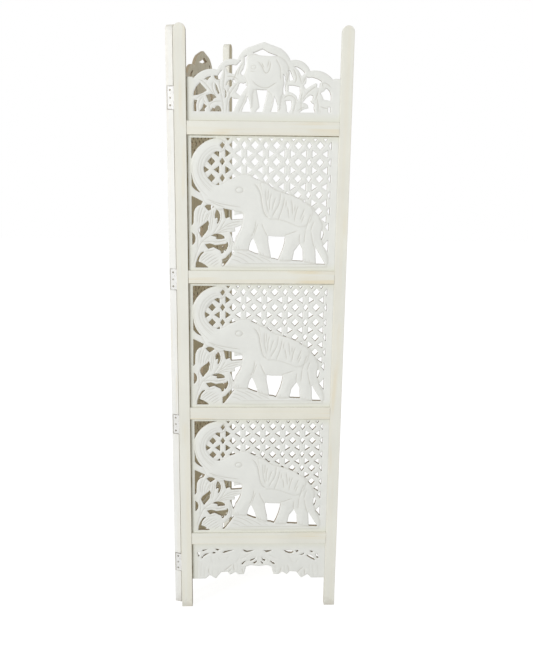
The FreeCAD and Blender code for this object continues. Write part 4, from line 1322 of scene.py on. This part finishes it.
# Apron boards: a scalloped board under each bottom rail, carved as a row of hanging leaves.
# They are cut from the same board and set in the same grooves as the rest.
apron_drop = 128.0
apron_top = 0.226
apron_half_shares = (
    (0.797, 1.0), (0.738, 0.9), (0.645, 1.0), (0.566, 0.825), (0.472, 0.81), (0.427, 0.895), (0.352, 0.82),
    (0.302, 0.89), (0.222, 0.883), (0.19, 0.672), (0.125, 0.629), (0.0, 0.66))
apron_gap_shares = (
    ((-0.863, 0.417), (-0.841, 0.344), (-0.798, 0.297), (-0.739, 0.281), (-0.782, 0.323), (-0.832, 0.383),
     (-0.847, 0.427)),
    ((-0.847, 0.234), (-0.841, 0.193), (-0.806, 0.182), (-0.759, 0.167), (-0.813, 0.211)),
    ((-0.918, 0.266), (-0.898, 0.245), (-0.886, 0.292), (-0.894, 0.383), (-0.906, 0.37)),
    ((-0.656, 0.167), (-0.628, 0.159), (-0.585, 0.188), (-0.62, 0.214)),
    ((-0.701, 0.271), (-0.671, 0.247), (-0.636, 0.279), (-0.682, 0.299)),
    ((-0.543, 0.271), (-0.517, 0.232), (-0.443, 0.206), (-0.378, 0.198), (-0.466, 0.247), (-0.523, 0.279)),
    ((-0.242, 0.193), (-0.218, 0.193), (-0.181, 0.224), (-0.119, 0.214), (-0.069, 0.198), (-0.127, 0.247),
     (-0.181, 0.263), (-0.219, 0.237)),
    ((0.062, 0.203), (0.097, 0.219), (0.159, 0.214), (0.205, 0.206), (0.159, 0.247), (0.113, 0.268)),
    ((0.372, 0.219), (0.429, 0.219), (0.508, 0.229), (0.523, 0.268), (0.495, 0.305), (0.441, 0.297),
     (0.409, 0.273)), ((0.548, 0.214), (0.591, 0.219), (0.6, 0.245), (0.568, 0.273)),
    ((0.61, 0.341), (0.653, 0.323), (0.676, 0.294), (0.685, 0.318), (0.653, 0.352)),
    ((0.718, 0.372), (0.741, 0.341), (0.784, 0.359), (0.816, 0.409), (0.849, 0.508), (0.807, 0.474),
     (0.761, 0.427)), ((0.764, 0.24), (0.784, 0.232), (0.824, 0.266), (0.792, 0.281)),
    ((0.855, 0.336), (0.89, 0.326), (0.887, 0.383), (0.903, 0.448), (0.875, 0.438)),
    ((-0.262, 0.607), (-0.25, 0.565), (-0.224, 0.531), (-0.181, 0.497), (-0.219, 0.56), (-0.242, 0.607)),
    ((-0.136, 0.508), (-0.122, 0.474), (-0.088, 0.451), (-0.043, 0.414), (-0.076, 0.477), (-0.111, 0.503)),
    ((-0.085, 0.557), (-0.057, 0.529), (-0.039, 0.497), (-0.022, 0.521), (-0.049, 0.576), (-0.073, 0.589)),
    ((0.042, 0.406), (0.066, 0.445), (0.103, 0.482), (0.091, 0.516), (0.06, 0.495)),
    ((0.025, 0.518), (0.051, 0.534), (0.071, 0.589), (0.051, 0.596)),
    ((0.168, 0.518), (0.199, 0.508), (0.222, 0.549), (0.25, 0.615), (0.213, 0.599)))
apron_cut_shares = (
    ((-0.748, 0.703), (-0.753, 0.786), (-0.745, 0.87)), ((-0.377, 0.578), (-0.375, 0.708), (-0.363, 0.799)),
    ((0.341, 0.695), (0.329, 0.792), (0.298, 0.875)), ((0.579, 0.87), (0.61, 0.786), (0.671, 0.698)),
    ((-0.517, 0.797), (-0.481, 0.729), (-0.435, 0.661), (-0.4, 0.594)),
    ((-0.238, 0.724), (-0.242, 0.792), (-0.23, 0.865)), ((0.693, 0.734), (0.699, 0.93)),
    ((-0.474, 0.852), (-0.44, 0.799), (-0.409, 0.724)), ((0.216, 0.734), (0.213, 0.852)),
    ((0.46, 0.812), (0.452, 0.708), (0.434, 0.635)))
apron_flute_shares = (
    ((-0.918, 0.474), (-0.921, 0.734), (-0.924, 0.969)),
    ((-0.852, 0.526), (-0.867, 0.786), (-0.872, 0.969)), ((-0.798, 0.63), (-0.813, 0.812), (-0.816, 0.956)),
    ((-0.682, 0.734), (-0.698, 0.839), (-0.671, 0.922)), ((-0.61, 0.734), (-0.605, 0.826), (-0.62, 0.932)),
    ((-0.312, 0.565), (-0.319, 0.734), (-0.301, 0.852)),
    ((-0.605, 0.383), (-0.597, 0.448), (-0.566, 0.505)), ((-0.44, 0.339), (-0.474, 0.422), (-0.489, 0.479)),
    ((-0.289, 0.383), (-0.312, 0.474), (-0.35, 0.565)), ((-0.705, 0.344), (-0.721, 0.448), (-0.69, 0.552)),
    ((-0.003, 0.383), (-0.008, 0.474), (-0.003, 0.617)),
    ((-0.026, 0.37), (-0.088, 0.401), (-0.15, 0.461), (-0.196, 0.578)),
    ((0.023, 0.37), (0.085, 0.409), (0.144, 0.474), (0.193, 0.591)),
    ((-0.15, 0.318), (-0.211, 0.396), (-0.281, 0.448)), ((0.144, 0.318), (0.205, 0.396), (0.275, 0.448)),
    ((0.259, 0.604), (0.252, 0.734), (0.258, 0.852)),
    ((0.449, 0.333), (0.471, 0.435), (0.491, 0.513), (0.522, 0.583)),
    ((0.606, 0.443), (0.573, 0.51), (0.557, 0.589)), ((0.383, 0.604), (0.39, 0.734), (0.414, 0.859)),
    ((0.631, 0.852), (0.66, 0.904), (0.64, 0.995)), ((0.761, 0.578), (0.769, 0.786), (0.776, 0.956)),
    ((0.818, 0.604), (0.823, 0.786), (0.835, 0.969)), ((0.892, 0.604), (0.894, 0.786), (0.897, 0.969)))


def under_rail(x_share, z_share):
    """Place on an apron, from the middle of its upper edge downwards."""
    return bay_width / 2 * (1 + x_share), -z_share * apron_drop


apron_head = -board_tongue / apron_drop
apron_points = [(edge_share, apron_head), (edge_share, 1)] + mirrored(apron_half_shares)
apron_points += [(-edge_share, 1), (-edge_share, apron_head)]
apron_outline = outline_points(apron_points, under_rail)
apron_gaps = [softened(outline_points(gap, under_rail), 1.2) for gap in apron_gap_shares]
apron_cuts = [(line, False, half, depth)
              for shares, half, depth in ((apron_cut_shares, 3.0, 1.1), (apron_flute_shares, 3.6, 0.45))
              for line in carved_lines(shares, under_rail)]


def apron_relief(places):
    """Height and hollows of the apron: soft flutes run down the leaves, deeper cuts part them."""
    cuts = deepest(places, apron_cuts)
    return -cuts, np.clip(cuts / 1.1, 0, 1)**1.5


apron_bends = [(line, False, (0.0, -1.7, 1.7, -3.4, 3.4)) for line, _, _, _ in apron_cuts]
apron_loops = board_loops(apron_outline, apron_gaps)
apron_mesh = carved_mesh("apron", apron_loops, apron_relief, apron_bends, ((0.0, 0.0),),
                         step=4.0, corner_cut=0.7, rim_width=1.8, rim_drop=1.0)
for leaf in leaves:
    set_board(apron_mesh, leaf, apron_top, f"{leaf}_apron", f"{leaf}_apron_board", back_wash_coat)


# Hinges: four steel butt hinges, 64 mm high, let in flush on the two leaves' meeting edges and painted over.
# The knuckles stand behind the leaves on a 3 mm pin, whose bright ends show where the paint has worn.
plate_edge = 0.00025
pin_edge = 0.0003
plate_reach = 0.0312  # from the middle of a plate to the dirt at its ends
hinge_paint = (0.80, 0.80, 0.79)
hinge_film = (0.72, 0.70, 0.65)
steel_color = (0.42, 0.41, 0.40)
# painted shadow along the hinge plates' and pins' edges, where the mortise gap and the knuckle are dark
hinge_edge_shade = (0.16, 0.12, 0.08)


def hinge_material(name, wear):
    """Painted steel that is bare in specks, more so on the knuckles behind the leaves."""
    material, tree, surface, here = new_material(name)
    speck = spread(tree, noise(tree, here, 300.0, 5.0, 0.65), wear, wear + 0.05)
    film = noise(tree, here, 70.0, 3.0)
    paint = blend_color(tree, spread(tree, film, 0.3, 0.7, 0.0, 0.5), hinge_paint, hinge_film)
    spot = carried(tree, "across")["Vector"]
    # painted shadow along the sides and at the ends of the hinge plates and pins
    side_shade = place_group(tree, edge_group, place=spot, reach=0.0024)["Mask"]
    side_shade = calculate(tree, "MULTIPLY", side_shade, 0.9)
    end_shade = place_group(tree, joint_group, place=spot, vector=here, half_length=plate_reach)["Mask"]
    paint = blend_color(tree, calculate(tree, "MAXIMUM", side_shade, end_shade), paint, hinge_edge_shade)
    fill_inputs(tree, surface, {
        "Base Color": blend_color(tree, speck, paint, steel_color), "Metallic": speck,
        "Roughness": spread(tree, speck, 0.0, 1.0, 0.48, 0.32),
        "Normal": fine_relief(tree, film, 0.3, 0.0003)})
    return material


plate_steel = hinge_material("painted_hinge", 0.60)
pin_steel = hinge_material("hinge_pin_steel", 0.44)
for number in range(1, 5):
    for leaf in leaves:
        plate = merged_copy(f"{leaf}_hinge_leaf_{number}", f"{leaf}_hinge_plate_{number}", leaf,
                            plate_edge, 2)
        plate.data.materials.append(plate_steel)
        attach(plate, f"{leaf}_leaf")
        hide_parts(f"{leaf}_hinge_plate_{number}")
    pin = merged_copy(f"hinge_pin_{number}_turned", f"hinge_pin_{number}", "front", pin_edge, 2)
    pin.data.materials.append(pin_steel)
    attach(pin, "front_leaf")
    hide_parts(f"hinge_pin_{number}")


# Hinge screws: three countersunk slotted wood screws in each plate, 21 mm apart, 24 in all.
# Their heads lie flush in the plates, with paint in the slots.
screw_sizes = {"Head Radius": 0.0030, "Dome": 0.0003, "Slot Width": 0.0008, "Slot Depth": 0.00022}
screw_pitch = 0.021
screw_setback = 0.0135  # from the hinge line
hinge_heights = (0.146, 0.625, 1.084, 1.604)
plate_face = 0.0005  # from the hinge line to the outside of a plate
screw_seeds = {"front": 11, "rear": 29}
clean_screw = (0.25, 0.24, 0.21)
stained_screw = (0.17, 0.14, 0.09)
smeared_paint = (0.50, 0.48, 0.42)


def screw_tree():
    """Geometry nodes for a row of slotted screw heads, one at each point and turned by its own angle."""
    kinds = {"Geometry": "Geometry", **dict.fromkeys(screw_sizes, "Float"), "Seed": "Int",
             "Steel": "Material"}
    tree, enter, leave = new_group("hinge_screw_rows", kinds, {"Geometry": "Geometry"}, "GeometryNodeTree")
    ball = add_node(tree, "GeometryNodeMeshUVSphere", {"Segments": 20, "Rings": 8, "Radius": 1.0})
    radius, dome = enter["Head Radius"], enter["Dome"]
    head = placed(tree, ball.outputs["Mesh"], scale=vector_of(tree, radius, radius, dome))
    blade_size = vector_of(tree, calculate(tree, "MULTIPLY", radius, 2.4), enter["Slot Width"],
                           calculate(tree, "MULTIPLY", enter["Slot Depth"], 2.0))
    blade = add_node(tree, "GeometryNodeMeshCube", {"Size": blade_size})
    raised_blade = placed(tree, blade.outputs["Mesh"], translation=vector_of(tree, z=dome))
    slotted = add_node(tree, "GeometryNodeMeshBoolean", operation="DIFFERENCE", solver="EXACT")
    fill_inputs(tree, slotted, {"Mesh 1": head, "Mesh 2": raised_blade})
    turn = add_node(tree, "FunctionNodeRandomValue", {2: 0.0, 3: math.pi, "Seed": enter["Seed"]},
                    data_type="FLOAT")
    spin = vector_of(tree, z=[s for s in turn.outputs if s.enabled][0])
    heads = stamped(tree, enter["Geometry"], slotted.outputs["Mesh"], rotation=spin)
    real = add_node(tree, "GeometryNodeRealizeInstances", {"Geometry": heads})
    painted = add_node(tree, "GeometryNodeSetMaterial", {
        "Geometry": real.outputs["Geometry"], "Material": enter["Steel"]})
    fill_inputs(tree, leave, {"Geometry": painted.outputs["Geometry"]})
    return tree


def screw_material():
    """Dull steel with brown stains, thinly smeared with the wash."""
    material, tree, surface, here = new_material("stained_screw_steel")
    stain = spread(tree, noise(tree, here, 420.0, 4.0, 0.6), 0.40, 0.62)
    smear = spread(tree, noise(tree, here, 160.0, 2.0), 0.50, 0.62)
    metal = blend_color(tree, stain, clean_screw, stained_screw)
    fill_inputs(tree, surface, {
        "Base Color": blend_color(tree, smear, metal, smeared_paint),
        "Metallic": spread(tree, smear, 0.0, 1.0, 0.75, 0.0),
        "Roughness": spread(tree, stain, 0.0, 1.0, 0.36, 0.62)})
    return material


screw_steel = screw_material()
screw_layout = screw_tree()
for leaf, side in (("front", 1), ("rear", -1)):
    spots = [(height + row * screw_pitch, -side * screw_setback, 0)
             for height in hinge_heights for row in (-1, 0, 1)]
    values = dict(screw_sizes, Seed=screw_seeds[leaf], Steel=screw_steel)
    heads = grown_mesh(f"{leaf}_hinge_screws", screw_layout, values, spots)
    head_frame = Matrix(((0, 0, -side, side * plate_face), (0, side, 0, 0), (1, 0, 0, 0), (0, 0, 0, 1)))
    heads.transform(Matrix.Translation(hinge_line) @ leaf_turns[leaf] @ head_frame)
    screws = bpy.data.objects.new(f"{leaf}_hinge_screws", heads)
    bpy.context.collection.objects.link(screws)
    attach(screws, f"{leaf}_leaf")
